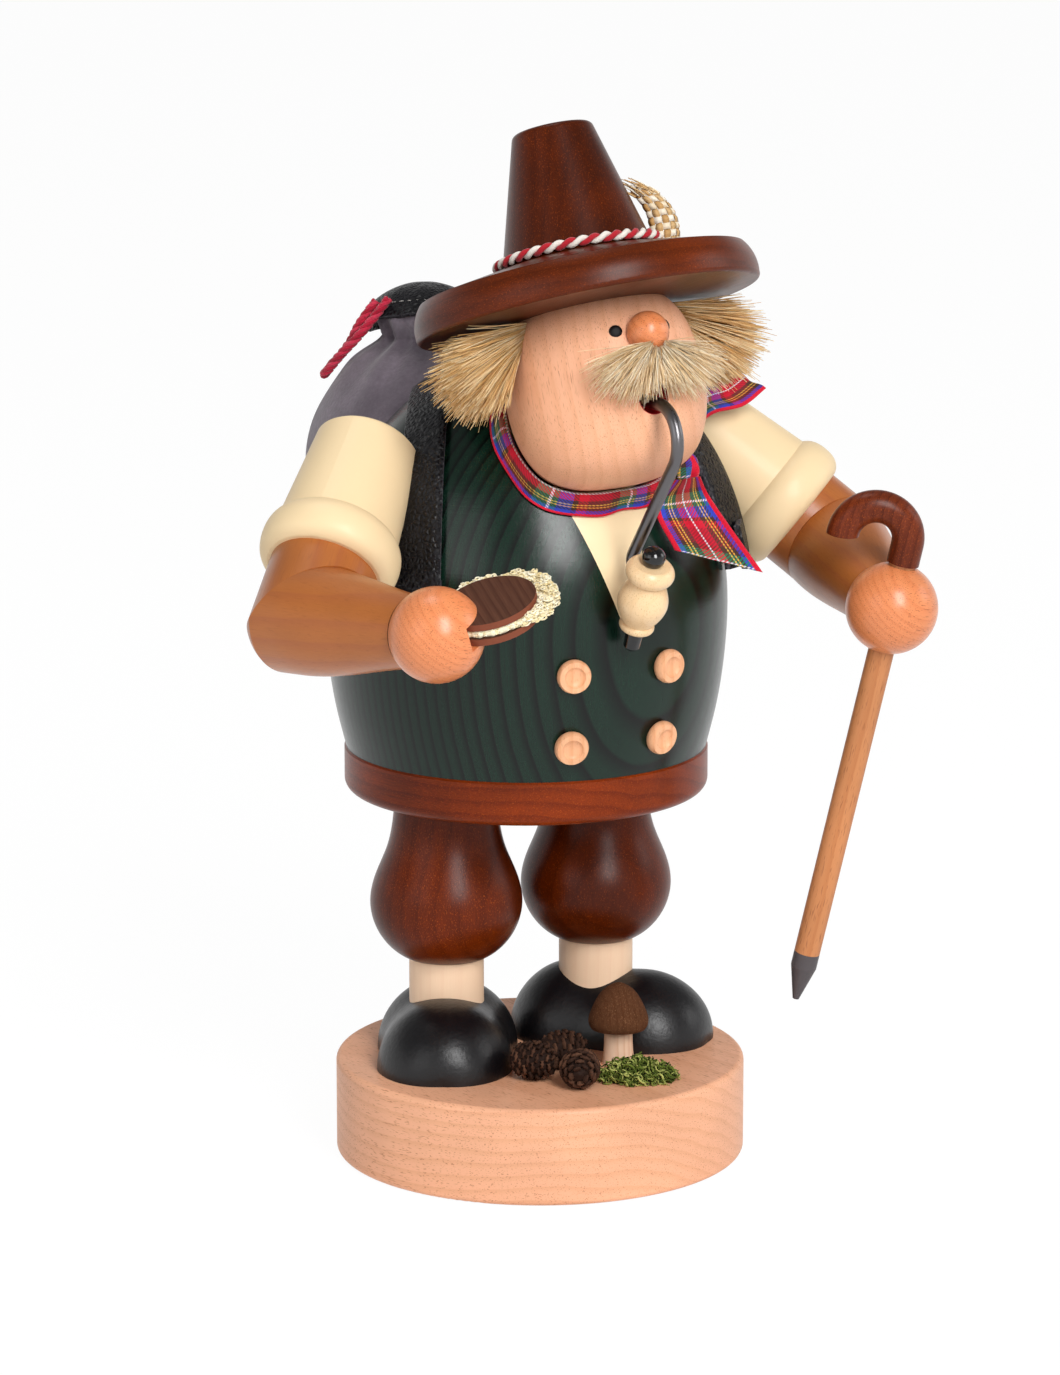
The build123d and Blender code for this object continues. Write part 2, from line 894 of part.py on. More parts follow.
def vest_buttons():
    group = []
    dish = button_radius * 0.62
    rim = button_thickness * 0.82
    for height in button_heights:
        for turn in (-button_angle, button_angle):
            form = lathe(
                (0, -button_thickness),
                (button_radius * 0.9, -button_thickness),
                (button_radius * 0.9, 0),
                [(button_radius, rim * 0.5), (button_radius * 0.9, rim)],
                (dish, rim),
                [(dish * 0.82, rim * 0.8), (dish * 0.4, rim * 0.66), (0, rim * 0.62)],
            )
            way = torso_normal(turn, hip_top + height)
            placed = frame(torso_point(turn, hip_top + height), way, Vector(0, 0, 1)) * form
            group.append(placed - torso_form(glue_gap))
    return Compound(children=[piece.solid() for piece in group])


# Arms


def shoulder(side):
    return torso_point(side * shoulder_angle[side], hip_top + shoulder_height, shoulder_out[side])


def elbow_point(side):
    return shoulder(side) + Vector(*upper_reach[side])


def hand_point(side):
    return elbow_point(side) + Vector(*lower_reach[side])


def upper_way(side):
    return Vector(*upper_reach[side]).normalized()


def lower_way(side):
    return Vector(*lower_reach[side]).normalized()


def shoulder_dowel(side, clearance):
    middle = shoulder(side) + upper_way(side) * (arm_dowel_radius + arm_dowel_inset)
    inward = Vector(-side, 0, -0.25).normalized()
    return rod(
        middle - inward * (arm_dowel_length * 0.3 + clearance),
        middle + inward * (arm_dowel_length + clearance),
        arm_dowel_radius + clearance,
    )


def wrist_dowel(side, clearance):
    middle = hand_point(side) - lower_way(side) * hand_radius
    reach = hand_radius * 0.45
    return rod(
        middle - lower_way(side) * (reach + clearance),
        middle + lower_way(side) * (reach + clearance),
        arm_dowel_radius + clearance,
    )


def sleeve_form(side, grow):
    # The whole turned sleeve before it is fitted to the torso, swollen by grow.
    start = sleeve_length - cuff_length
    form = lathe(
        (0, -grow),
        (sleeve_radius - sleeve_edge + grow, -grow),
        (sleeve_radius + grow, sleeve_edge),
        (sleeve_end_radius + grow, start),
        [
            (cuff_radius - 0.4 + grow, start + cuff_length * 0.24),
            (cuff_radius + grow, start + cuff_length * 0.52),
            (cuff_radius - 0.7 + grow, start + cuff_length * 0.82),
            (elbow_radius + 0.9 + grow, sleeve_length),
        ],
        (0, sleeve_length),
    )
    return frame(shoulder(side), upper_way(side), Vector(0, 0, 1)) * form


def sleeve(side):
    return sleeve_form(side, 0) - torso_form(glue_gap) - shoulder_dowel(side, dowel_clearance)


def mitre(side):
    # The plane through the elbow that both halves of the arm are cut on, facing the hand.
    return (upper_way(side) + lower_way(side)).normalized()


def elbow_ball(side):
    return Pos(elbow_point(side)) * Sphere(elbow_radius * 1.1)


def elbow(side):
    way = upper_way(side)
    start = shoulder(side) + way * sleeve_length
    form = rod(start, elbow_point(side) + way * elbow_radius * 2, elbow_radius)
    beyond = half_space(elbow_point(side), way)
    form = form - half_space(elbow_point(side), mitre(side))
    return (form - beyond) + (form & beyond & elbow_ball(side))


def forearm(side):
    way = lower_way(side)
    length = Vector(*lower_reach[side]).length
    form = lathe(
        (0, -elbow_radius * 2),
        (elbow_radius, -elbow_radius * 2),
        (elbow_radius, 0),
        [
            (elbow_radius * 0.96, length * 0.22),
            (elbow_radius * 0.84, length * 0.46),
            (wrist_radius, length - hand_radius * 0.6),
        ],
        (0, length - hand_radius * 0.6),
    )
    placed = frame(elbow_point(side), way, Vector(0, 0, 1)) * form
    placed = placed - half_space(elbow_point(side), mitre(side) * -1)
    before = half_space(elbow_point(side), way * -1)
    rounded = (placed - before) + (placed & before & elbow_ball(side))
    ball = Pos(hand_point(side)) * Sphere(hand_radius + glue_gap)
    return rounded - ball - wrist_dowel(side, dowel_clearance)


bread_out = unit(*bread_along)
bread_flat = upright(bread_out, Vector(*bread_up))
bread_height = 2 * bread_slice + bread_filling_thickness
bread_centre = hand_point(-1) + bread_out * bread_reach + bread_flat * bread_rise
bread_end = hand_point(-1) + bread_out * bread_bite
bread_plane = Plane(origin=bread_centre, x_dir=bread_out, z_dir=bread_flat)


def hand_right():
    ball = Plane(origin=hand_point(-1), x_dir=bread_out * -1, z_dir=bread_flat) * Sphere(hand_radius)
    slot = bread_plane * Box(far, far, bread_height + glue_gap * 2)
    slot = slot - half_space(bread_end - bread_out * glue_gap, bread_out * -1)
    return ball - slot - wrist_dowel(-1, dowel_clearance)


def hand_left():
    ball = frame(hand_point(1), stick_way) * Sphere(hand_radius)
    hole = rod(
        stick_centre - stick_way * hand_radius * 2,
        stick_centre + stick_way * hand_radius * 2,
        stick_radius + stick_clearance,
    )
    return ball - hole - wrist_dowel(1, dowel_clearance)


def bread_layer(low, thickness, spill):
    # An oval cut straight where it meets the hand; what spills does so at the open end and the far side.
    oval = Ellipse(bread_length / 2 + spill / 2, bread_width / 2 + spill / 3)
    whole = bread_plane * Pos(spill / 2, spill / 3, low) * extrude(oval, thickness)
    return whole - half_space(bread_end, bread_out * -1)


# Walking stick

stick_way = unit(*stick_down)
stick_centre = hand_point(1)
crook_way = upright(stick_way, Vector(*crook_side))
crook_seat = stick_centre - stick_way * (hand_radius + crook_gap)


def stick_shaft():
    top = crook_seat - stick_way * crook_section
    low = stick_centre + stick_way * stick_length
    return rod(top, low, stick_radius)


def stick_crook():
    # A short straight leg above the hand, then half a turn of round rod with a hole in its free end.
    leg = crook_section * 1.2
    plane = Plane(origin=crook_seat, x_dir=crook_way, z_dir=crook_way.cross(stick_way * -1))
    path = plane * Wire([Line((0, 0), (0, leg)), CenterArc((crook_radius, leg), crook_radius, 180, -185)])
    section = Plane(origin=crook_seat, x_dir=crook_way, z_dir=stick_way * -1) * Circle(crook_section)
    form = sweep(section, path=path)
    flat = half_space(crook_seat, stick_way)
    ball = Pos(stick_centre) * Sphere(hand_radius + crook_gap * 0.8)
    depth = crook_section + dowel_clearance
    socket = rod(crook_seat, crook_seat - stick_way * depth, stick_radius + dowel_clearance)
    return form - flat - ball - socket


def stick_ferrule():
    form = lathe(
        (0, 0),
        (stick_radius, 0),
        (stick_radius, ferrule_length - ferrule_point),
        (stick_radius * 0.25, ferrule_length),
        (0, ferrule_length),
    )
    return frame(stick_centre + stick_way * stick_length, stick_way, Vector(1, 0, 0)) * form


# Pipe

wire_top = Vector(wire_start.X, mouth_lip.Y - pipe_reach, wire_start.Z)
wire_low = Vector(wire_start.X, wire_top.Y + pipe_inset, wire_start.Z - pipe_drop)
bowl_way = unit(0, -sin(radians(bowl_lean)), cos(radians(bowl_lean)))
bowl_centre = wire_low + Vector(0, -bowl_forward, -bowl_drop)
bowl_neck = bowl_centre + bowl_way * bowl_radius * 0.86
bowl_frame = frame(bowl_centre, bowl_way)


def pipe_stem():
    path = FilletPolyline(wire_start, wire_top, wire_low, bowl_neck, radius=[wire_bend, wire_foot_bend])
    section = frame(wire_start, forward, Vector(0, 0, 1)) * Circle(wire_radius)
    return sweep(section, path=path) - bowl_solid()


def bowl_solid():
    neck = bowl_radius * 0.95
    flange = bowl_radius * 1.42
    form = lathe(
        (0, -bowl_radius * 1.3),
        (bowl_radius * 0.62, -bowl_radius * 1.3),
        [(bowl_radius * 0.7, -bowl_radius * 1.17), (bowl_radius * 0.6, -bowl_radius * 0.98)],
        [
            (bowl_radius * 0.86, -bowl_radius * 0.56),
            (bowl_radius, 0),
            (bowl_radius * 0.88, bowl_radius * 0.5),
            (bowl_radius * 0.68, neck),
        ],
        [(flange_radius, flange), (bowl_radius * 0.74, bowl_radius * 1.72)],
        (0, bowl_radius * 1.72),
    )
    return bowl_frame * form


def pipe_knob():
    seat = bowl_radius * 1.72
    form = lathe(
        (0, seat),
        (knob_radius * 0.75, seat),
        [
            (knob_radius, seat + knob_radius * 0.5),
            (knob_radius * 0.9, seat + knob_radius * 1.15),
            (knob_radius * 0.5, seat + knob_radius * 1.5),
            (0, seat + knob_radius * 1.6),
        ],
    )
    return bowl_frame * form


def pipe_tip():
    seat = -bowl_radius * 1.3
    form = lathe(
        (0, seat),
        (tip_radius, seat),
        (tip_radius * 0.9, seat - tip_length + 0.8),
        (tip_radius * 0.6, seat - tip_length),
        (0, seat - tip_length),
    )
    return bowl_frame * form


# Rucksack

bag_place = figure_axis + Vector(0, bag_back, hip_top + bag_rise)
bag_top = bag_place + Vector(0, 0, bag_height)


def bag_form(grow):
    # A stuffed bag: round below, gathered into a neck, with a ruffle above the neck.
    high = bag_height
    outline = [
        (bag_radius * 0.72, 0.04 * high),
        (bag_radius * 0.92, 0.15 * high),
        (bag_radius, 0.36 * high),
        (bag_radius * 0.92, 0.58 * high),
        (bag_radius * 0.66, 0.75 * high),
        (bag_neck_radius, 0.845 * high),
        (bag_neck_radius * 1.14, 0.92 * high),
        (bag_neck_radius, 0.957 * high),
        (bag_neck_radius * 0.55, 0.99 * high),
    ]
    swollen = [(radius + grow, height) for radius, height in outline]
    return Pos(bag_place) * lathe((0, -grow), (bag_radius / 2, -grow), swollen + [(0, high + grow)])


def rucksack_bag():
    return bag_form(0) - torso_form(bag_gap)


def flap_outline(radius, height, low):
    # A quarter of an ellipse from the rim of the flap to its crown.
    angles = (18, 38, 58, 76)
    bends = [(radius * cos(radians(angle)), low + height * sin(radians(angle))) for angle in angles]
    return [(radius, low)] + bends + [(0, low + height)]


def rucksack_flap():
    # A leather cap over the ruffle, cut slantwise so that it is open towards the front.
    low = bag_gap + flap_thickness - flap_height
    outer = flap_outline(flap_radius, flap_height, low)
    inner = flap_outline(flap_radius - flap_thickness, flap_height - flap_thickness, low)
    cap = Pos(bag_top) * lathe(inner[0], outer[0], outer[1:], inner[-1], inner[-2::-1])
    tilt = radians(flap_tilt)
    turn = radians(flap_turn)
    away = Vector(sin(tilt) * sin(turn), -sin(tilt) * cos(turn), -cos(tilt))
    return cap - half_space(bag_top + Vector(0, 0, low + flap_edge), away)


def strap(side):
    # A leather loop: up the front, over the shoulder and round under the arm to the bag.
    # The stiff left one stands off the torso.
    under = kerchief_skin + strap_stand[side]
    shell = torso_form(under + strap_thickness) - torso_form(under)
    turn = radians(side * strap_turn)
    away = Vector(sin(turn), -cos(turn), 0)
    middle = figure_axis + away * strap_offset
    low = Vector(0, 0, hip_top + strap_low[side])
    slab = Plane(origin=middle, x_dir=Vector(0, 0, 1), z_dir=away) * Box(far, far, strap_width)
    loop = (shell & slab) - half_space(low, Vector(0, 0, -1))
    belt = Pos(low + Vector(0, 0, strap_width / 2)) * Box(far, far, strap_width)
    belt = shell & belt & half_space(middle - away * (strap_width / 2), away)
    form = loop + belt - bag_form(bag_gap) - neckerchief_knot_form(glue_gap)
    return largest(form - head_form(kerchief_reach + glue_gap) - sleeve_form(side, glue_gap))


def rucksack_cord():
    # Drawstring loop: straight runs joined by arcs as large as the runs allow.
    route = [bag_top + Vector(*place) for place in drawstring_places]
    radii = []
    for before, here, after in zip(route, route[1:], route[2:]):
        turn = (here - before).get_angle(after - here)
        run = min((here - before).length, (after - here).length)
        radii.append(0.45 * run / tan(radians(turn / 2)))
    path = FilletPolyline(*route, radius=radii)
    print("drawstring radii", [round(radius, 1) for radius in radii], "length", round(path.length, 1))
    way = (route[1] - route[0]).normalized()
    return sweep(frame(route[0], way, Vector(0, 0, 1)) * Circle(drawstring_radius), path=path)


pieces["base_disc"] = base_disc()
for name, side in (("right", -1), ("left", 1)):
    pieces[f"shoe_{name}"] = shoe(side)
    pieces[f"stocking_{name}"] = stocking(side)
    pieces[f"breeches_{name}"] = breeches(side)
    pieces[f"sleeve_{name}"] = sleeve(side)
    pieces[f"elbow_{name}"] = elbow(side)
    pieces[f"forearm_{name}"] = forearm(side)
    pieces[f"hair_{name}"] = side_hair(side)
    pieces[f"strap_{name}"] = strap(side)
pieces["leg_dowels"] = Compound(children=[leg_dowel(side, 0).solid() for side in (-1, 1)])
pieces["hip_disc"] = hip_disc()
pieces["burner_plate"] = burner_plate()
pieces["burner_screw"] = burner_screw_form(0)
pieces["mushroom_stem"] = mushroom_stem()
pieces["mushroom_cap"] = mushroom_cap()
pieces["alder_cones"] = Compound(children=[alder_cone(*place).solid() for place in cone_places])
pieces["moss_tuft"] = moss_tuft()
pieces["torso"] = torso()
pieces["neck_tube"] = neck_tube()
pieces["head"] = head()
pieces["nose"] = nose()
pieces["eyes"] = Compound(children=[eye_pin(nose_turn + way * eye_angle, 0).solid() for way in (1, -1)])
pieces["moustache"] = moustache()
pieces["hat_brim"] = hat_brim()
pieces["hat_crown"] = hat_crown()
pieces["hat_dowel"] = hat_dowel_form(0)
pieces["hat_cord"] = hat_cord()
pieces["hat_plume"] = hat_plume()
pieces["neckerchief_band"] = neckerchief_band()
pieces["neckerchief_knot"] = neckerchief_knot()
pieces["neckerchief_front_tail"] = neckerchief_front_tail()
pieces["neckerchief_back_tail"] = neckerchief_back_tail()
pieces["vest_buttons"] = vest_buttons()
pieces["hand_right"] = hand_right()
pieces["hand_left"] = hand_left()
pieces["shoulder_dowels"] = Compound(children=[shoulder_dowel(side, 0).solid() for side in (-1, 1)])
pieces["wrist_dowels"] = Compound(children=[wrist_dowel(side, 0).solid() for side in (-1, 1)])
pieces["bread_lower"] = bread_layer(-bread_height / 2, bread_slice, 0)
pieces["bread_filling"] = bread_layer(-bread_filling_thickness / 2, bread_filling_thickness, bread_spill)
pieces["bread_upper"] = bread_layer(bread_filling_thickness / 2, bread_slice, 0)
pieces["stick_shaft"] = stick_shaft()
pieces["stick_crook"] = stick_crook()
pieces["stick_ferrule"] = stick_ferrule()
pieces["pipe_stem"] = pipe_stem()
pieces["pipe_bowl"] = bowl_solid()
pieces["pipe_knob"] = pipe_knob()
pieces["pipe_tip"] = pipe_tip()
pieces["rucksack_bag"] = rucksack_bag()
pieces["rucksack_flap"] = rucksack_flap()
pieces["rucksack_cord"] = rucksack_cord()

os.makedirs("parts", exist_ok=True)
for name, piece in pieces.items():
    export_step(piece, f"parts/{name}.step")
    print(name, len(piece.solids()), round(piece.volume, 1))
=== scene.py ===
import math
import bmesh
import bpy
import numpy as np
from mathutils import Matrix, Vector


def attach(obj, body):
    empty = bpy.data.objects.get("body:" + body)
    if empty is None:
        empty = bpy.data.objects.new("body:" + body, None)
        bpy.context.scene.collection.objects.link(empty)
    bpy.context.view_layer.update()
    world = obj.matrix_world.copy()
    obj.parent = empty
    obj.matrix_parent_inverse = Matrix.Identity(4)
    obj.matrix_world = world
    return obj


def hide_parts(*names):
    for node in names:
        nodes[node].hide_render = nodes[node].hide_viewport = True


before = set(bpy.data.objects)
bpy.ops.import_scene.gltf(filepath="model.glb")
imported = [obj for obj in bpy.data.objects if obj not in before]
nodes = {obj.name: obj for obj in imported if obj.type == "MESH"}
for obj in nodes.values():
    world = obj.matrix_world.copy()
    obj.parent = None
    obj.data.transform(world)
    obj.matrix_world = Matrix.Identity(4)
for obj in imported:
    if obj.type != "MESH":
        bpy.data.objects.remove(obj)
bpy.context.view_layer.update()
mm = 0.001
upper, lower = "upper_half", "lower_half"
rng = np.random.default_rng(7)
print("frame loaded:", len(nodes), "nodes")

# The figure's own sizes in millimetres, as the solids have them
figure = {
    "axis": np.array([0.0, 7.6, 0.0]),
    "bellyMiddle": np.array([0.0, 7.6, 143.0]),
    "bellyZ": 143.0,
    "bellyRadius": 51.3,
    "domeHeight": 62.0,
    "flankRadius": 137.81,
    "baseTop": 25.0,
    "neckWay": np.array([0.0, -0.6388, 0.7694]),
    "hatSeat": np.array([-1.361, -28.203, 220.857]),
    "headAxis": np.array([-0.0523, 0.3251, 0.9442]),
    "faceWay": np.array([-0.018, -0.9456, 0.3249]),
    "sideWay": np.array([0.9985, 0.0, 0.0553]),
}
bothSides = ((-1, "right"), (1, "left"))


# Colours, nodes and materials


def linear(code):
    # sRGB hex to linear light, with alpha 1
    value = np.array([int(code[k:k + 2], 16) for k in (1, 3, 5)]) / 255
    value = np.where(value <= 0.04045, value / 12.92, ((value + 0.055) / 1.055) ** 2.4)
    return (*value.tolist(), 1.0)


def addNode(tree, kind, inputs=None, out=0, stops=None, **settings):
    # one node with its settings, its ramp stops and its links or values; gives one output, or the node for None
    node = tree.nodes.new("ShaderNode" + kind)
    for key, value in settings.items():
        setattr(node, key, value)
    if stops:
        ramp = node.color_ramp
        while len(ramp.elements) < len(stops):
            ramp.elements.new(0.5)
        for element, (place, code) in zip(ramp.elements, stops):
            element.position = place
            element.color = linear(code)
    for key, value in (inputs or {}).items():
        if isinstance(value, bpy.types.NodeSocket):
            tree.links.new(value, node.inputs[key])
        else:
            node.inputs[key].default_value = value
    return node if out is None else node.outputs[out]


def startMaterial(name, **fixed):
    # a Principled shader with its constants set, and the object's own coordinates
    mat = bpy.data.materials.new(name)
    mat.use_nodes = True
    tree = mat.node_tree
    tree.nodes.clear()
    shader = addNode(tree, "BsdfPrincipled", {key.replace("_", " "): value for key, value in fixed.items()}, None)
    addNode(tree, "OutputMaterial", {0: shader.outputs[0]}, None)
    return mat, tree, shader, addNode(tree, "TexCoord", out="Object")


def finishSurface(tree, shader, colour, rough=None, height=None, relief=(0.5, 0.2)):
    # links what was worked out to the shader; relief is the height's strength and its depth in mm
    tree.links.new(colour, shader.inputs["Base Color"])
    if rough is not None:
        tree.links.new(rough, shader.inputs["Roughness"])
    if height is not None:
        bump = addNode(tree, "Bump", {"Height": height, "Strength": relief[0], "Distance": relief[1] * mm})
        tree.links.new(bump, shader.inputs["Normal"])


def gritty(tree, coord, colour, scale, detail, low, high):
    # noise that shades a colour between low and high; gives the colour, and the noise for relief
    grain = addNode(tree, "TexNoise", {"Vector": coord, "Scale": scale, "Detail": detail})
    shade = addNode(tree, "MapRange", {"Value": grain, "To Min": low, "To Max": high})
    return addNode(tree, "Mix", {0: 1.0, 6: colour, 7: shade}, 2, data_type="RGBA", blend_type="MULTIPLY"), grain


def laid(tree):
    # the piece's own attribute: along, across and tone
    lay = addNode(tree, "Attribute", out="Vector", attribute_name="lay")
    return addNode(tree, "SeparateXYZ", {0: lay}, None).outputs


def tonedMaterial(name, colours, noise=None, relief=None, **fixed):
    # colour by the piece's own tone, shaded by noise: its scale, detail, darkest and lightest shade
    mat, tree, shader, coord = startMaterial(name, **fixed)
    colour = addNode(tree, "ValToRGB", {"Fac": laid(tree)[2]}, stops=colours)
    grain = None
    if noise:
        colour, grain = gritty(tree, coord, colour, *noise)
    finishSurface(tree, shader, colour, None, grain if relief else None, relief)
    return mat


def dress(mat, *names):
    # a material on solids that stay as they are
    for name in names:
        nodes[name].data.materials.clear()
        nodes[name].data.materials.append(mat)


woodDefaults = {
    "fibre": (0, 0, 1),       # the way the fibres run
    "pith": (60.0, 14.0, 0),  # where the heart of the trunk lies, mm
    "ring": 2.6,              # growth ring spacing, mm
    "wander": 1.6,            # how far rings stray
    "fleck": 0.0,             # strength of the short dark rays
    "fleckSize": (0.42, 3.4),
    "rough": 0.42,
    "coat": 0.25,
    "coatRough": 0.22,
    "ior": 1.4,
    "bump": 0.12,
    "fibreTone": 0.22,
    "toolMark": 0.0,          # strength of the lathe's fine level lines
    "cloud": 0.08,            # how uneven the stain lies
}


def turnedWood(name, **choice):
    # Turned wood: saw-tooth growth rings about the pith, long fibres, and rays as short dashes
    spec = {**woodDefaults, **choice}
    mat, tree, shader, coord = startMaterial(
        name, Coat_Weight=spec["coat"], Coat_Roughness=spec["coatRough"], Coat_IOR=spec["ior"], IOR=spec["ior"])
    upright = Vector(spec["fibre"]).rotation_difference(Vector((0, 0, 1))).to_euler()
    lie = addNode(tree, "Mapping", {
        "Vector": coord, "Scale": (1000, 1000, 1000), "Rotation": upright, "Location": spec["pith"]})
    # rings, bent by a slow noise
    bend = addNode(tree, "Mapping", {"Vector": lie, "Scale": (0.045, 0.045, 0.014)})
    sway = addNode(tree, "TexNoise", {"Vector": bend, "Scale": 1.0, "Detail": 2.0}, "Color")
    stray = addNode(tree, "VectorMath", {0: sway, 1: (0.5, 0.5, 0.5)}, operation="SUBTRACT")
    stray = addNode(tree, "VectorMath", {0: stray, "Scale": spec["wander"] * spec["ring"]}, operation="SCALE")
    bent = addNode(tree, "VectorMath", {0: lie, 1: stray}, operation="ADD")
    rings = addNode(tree, "TexWave", {"Vector": bent, "Scale": 0.31416 / spec["ring"], "Distortion": 0.0}, "Fac",
                    wave_type="RINGS", rings_direction="Z", wave_profile="SAW")
    colour = addNode(tree, "ValToRGB", {"Fac": rings}, stops=[
        (0.0, spec["early"]), (0.45, spec["early"]), (0.9, spec["late"]), (1.0, spec["early"])])
    # fibres
    thread = addNode(tree, "Mapping", {"Vector": lie, "Scale": (2.6, 2.6, 0.09)})
    fibre = addNode(tree, "TexNoise", {"Vector": thread, "Scale": 1.0, "Detail": 4.0, "Roughness": 0.65})
    streak = addNode(tree, "MapRange", {
        "Value": fibre, "From Min": 0.3, "From Max": 0.75, "To Min": 0.0, "To Max": spec["fibreTone"]})
    colour = addNode(tree, "Mix", {0: streak, 6: colour, 7: linear(spec["streak"])}, 2, data_type="RGBA")
    height = fibre
    if spec["toolMark"]:
        level = addNode(tree, "Mapping", {"Vector": coord, "Scale": (30, 30, 3600)})
        level = addNode(tree, "TexNoise", {"Vector": level, "Scale": 1.0, "Detail": 2.0})
        height = addNode(tree, "Math", {0: level, 1: spec["toolMark"], 2: fibre}, operation="MULTIPLY_ADD")
    if spec["fleck"]:
        wide, long = spec["fleckSize"]
        dash = addNode(tree, "Mapping", {"Vector": lie, "Scale": (1 / wide, 1 / wide, 1 / long)})
        ray = addNode(tree, "TexNoise", {"Vector": dash, "Scale": 1.0, "Detail": 1.0})
        ray = addNode(tree, "MapRange", {
            "Value": ray, "From Min": 0.6, "From Max": 0.72, "To Min": 0.0, "To Max": spec["fleck"]})
        colour = addNode(tree, "Mix", {0: ray, 6: colour, 7: linear(spec["ray"])}, 2, data_type="RGBA")
    # patches where the stain lies thicker
    patch = addNode(tree, "TexNoise", {"Vector": lie, "Scale": 0.035, "Detail": 2.0})
    patch = addNode(tree, "MapRange", {"Value": patch, "From Min": 0.3, "From Max": 0.7,
                                       "To Min": 1 - spec["cloud"], "To Max": 1 + spec["cloud"]})
    colour = addNode(tree, "Mix", {0: 1.0, 6: colour, 7: patch}, 2, data_type="RGBA", blend_type="MULTIPLY")
    rough = addNode(tree, "MapRange", {
        "Value": fibre, "To Min": spec["rough"] - 0.06, "To Max": spec["rough"] + 0.1})
    finishSurface(tree, shader, colour, rough, height, (spec["bump"], 0.2))
    return mat, tree, shader, coord, colour


def paintOver(wood, mask, paint, *names):
    # a second colour on turned wood where the mask is 1
    mat, tree, shader, coord, colour = wood
    painted = addNode(tree, "Mix", {0: mask, 6: colour, 7: linear(paint)}, 2, data_type="RGBA")
    finishSurface(tree, shader, painted)
    dress(mat, *names)


headUp = tuple(figure["headAxis"])
levelWay, stickWay = (0.25, -0.97, 0), (0.138, -0.187, 0.973)
# Beech is pinkish and dense, with dark ray flecks along the fibre
beech = dict(early="#EFB38E", late="#E9AA84", streak="#DB9A74", ray="#8E4A28", fleck=0.85)
# Reddish-brown stain under satin lacquer: pores and late wood take more of it
brown = dict(early="#642202", late="#581C01", streak="#2A0B00", ray="#A64C14", fleck=0.5, fleckSize=(0.22, 0.5),
             rough=0.3, coat=0.0, ior=1.27, bump=0.1, cloud=0.4, fibreTone=0.55)
hatBrown = dict(brown, early="#4E1900", late="#461500", streak="#1E0700", ray="#8E3E0E", ring=3.4)
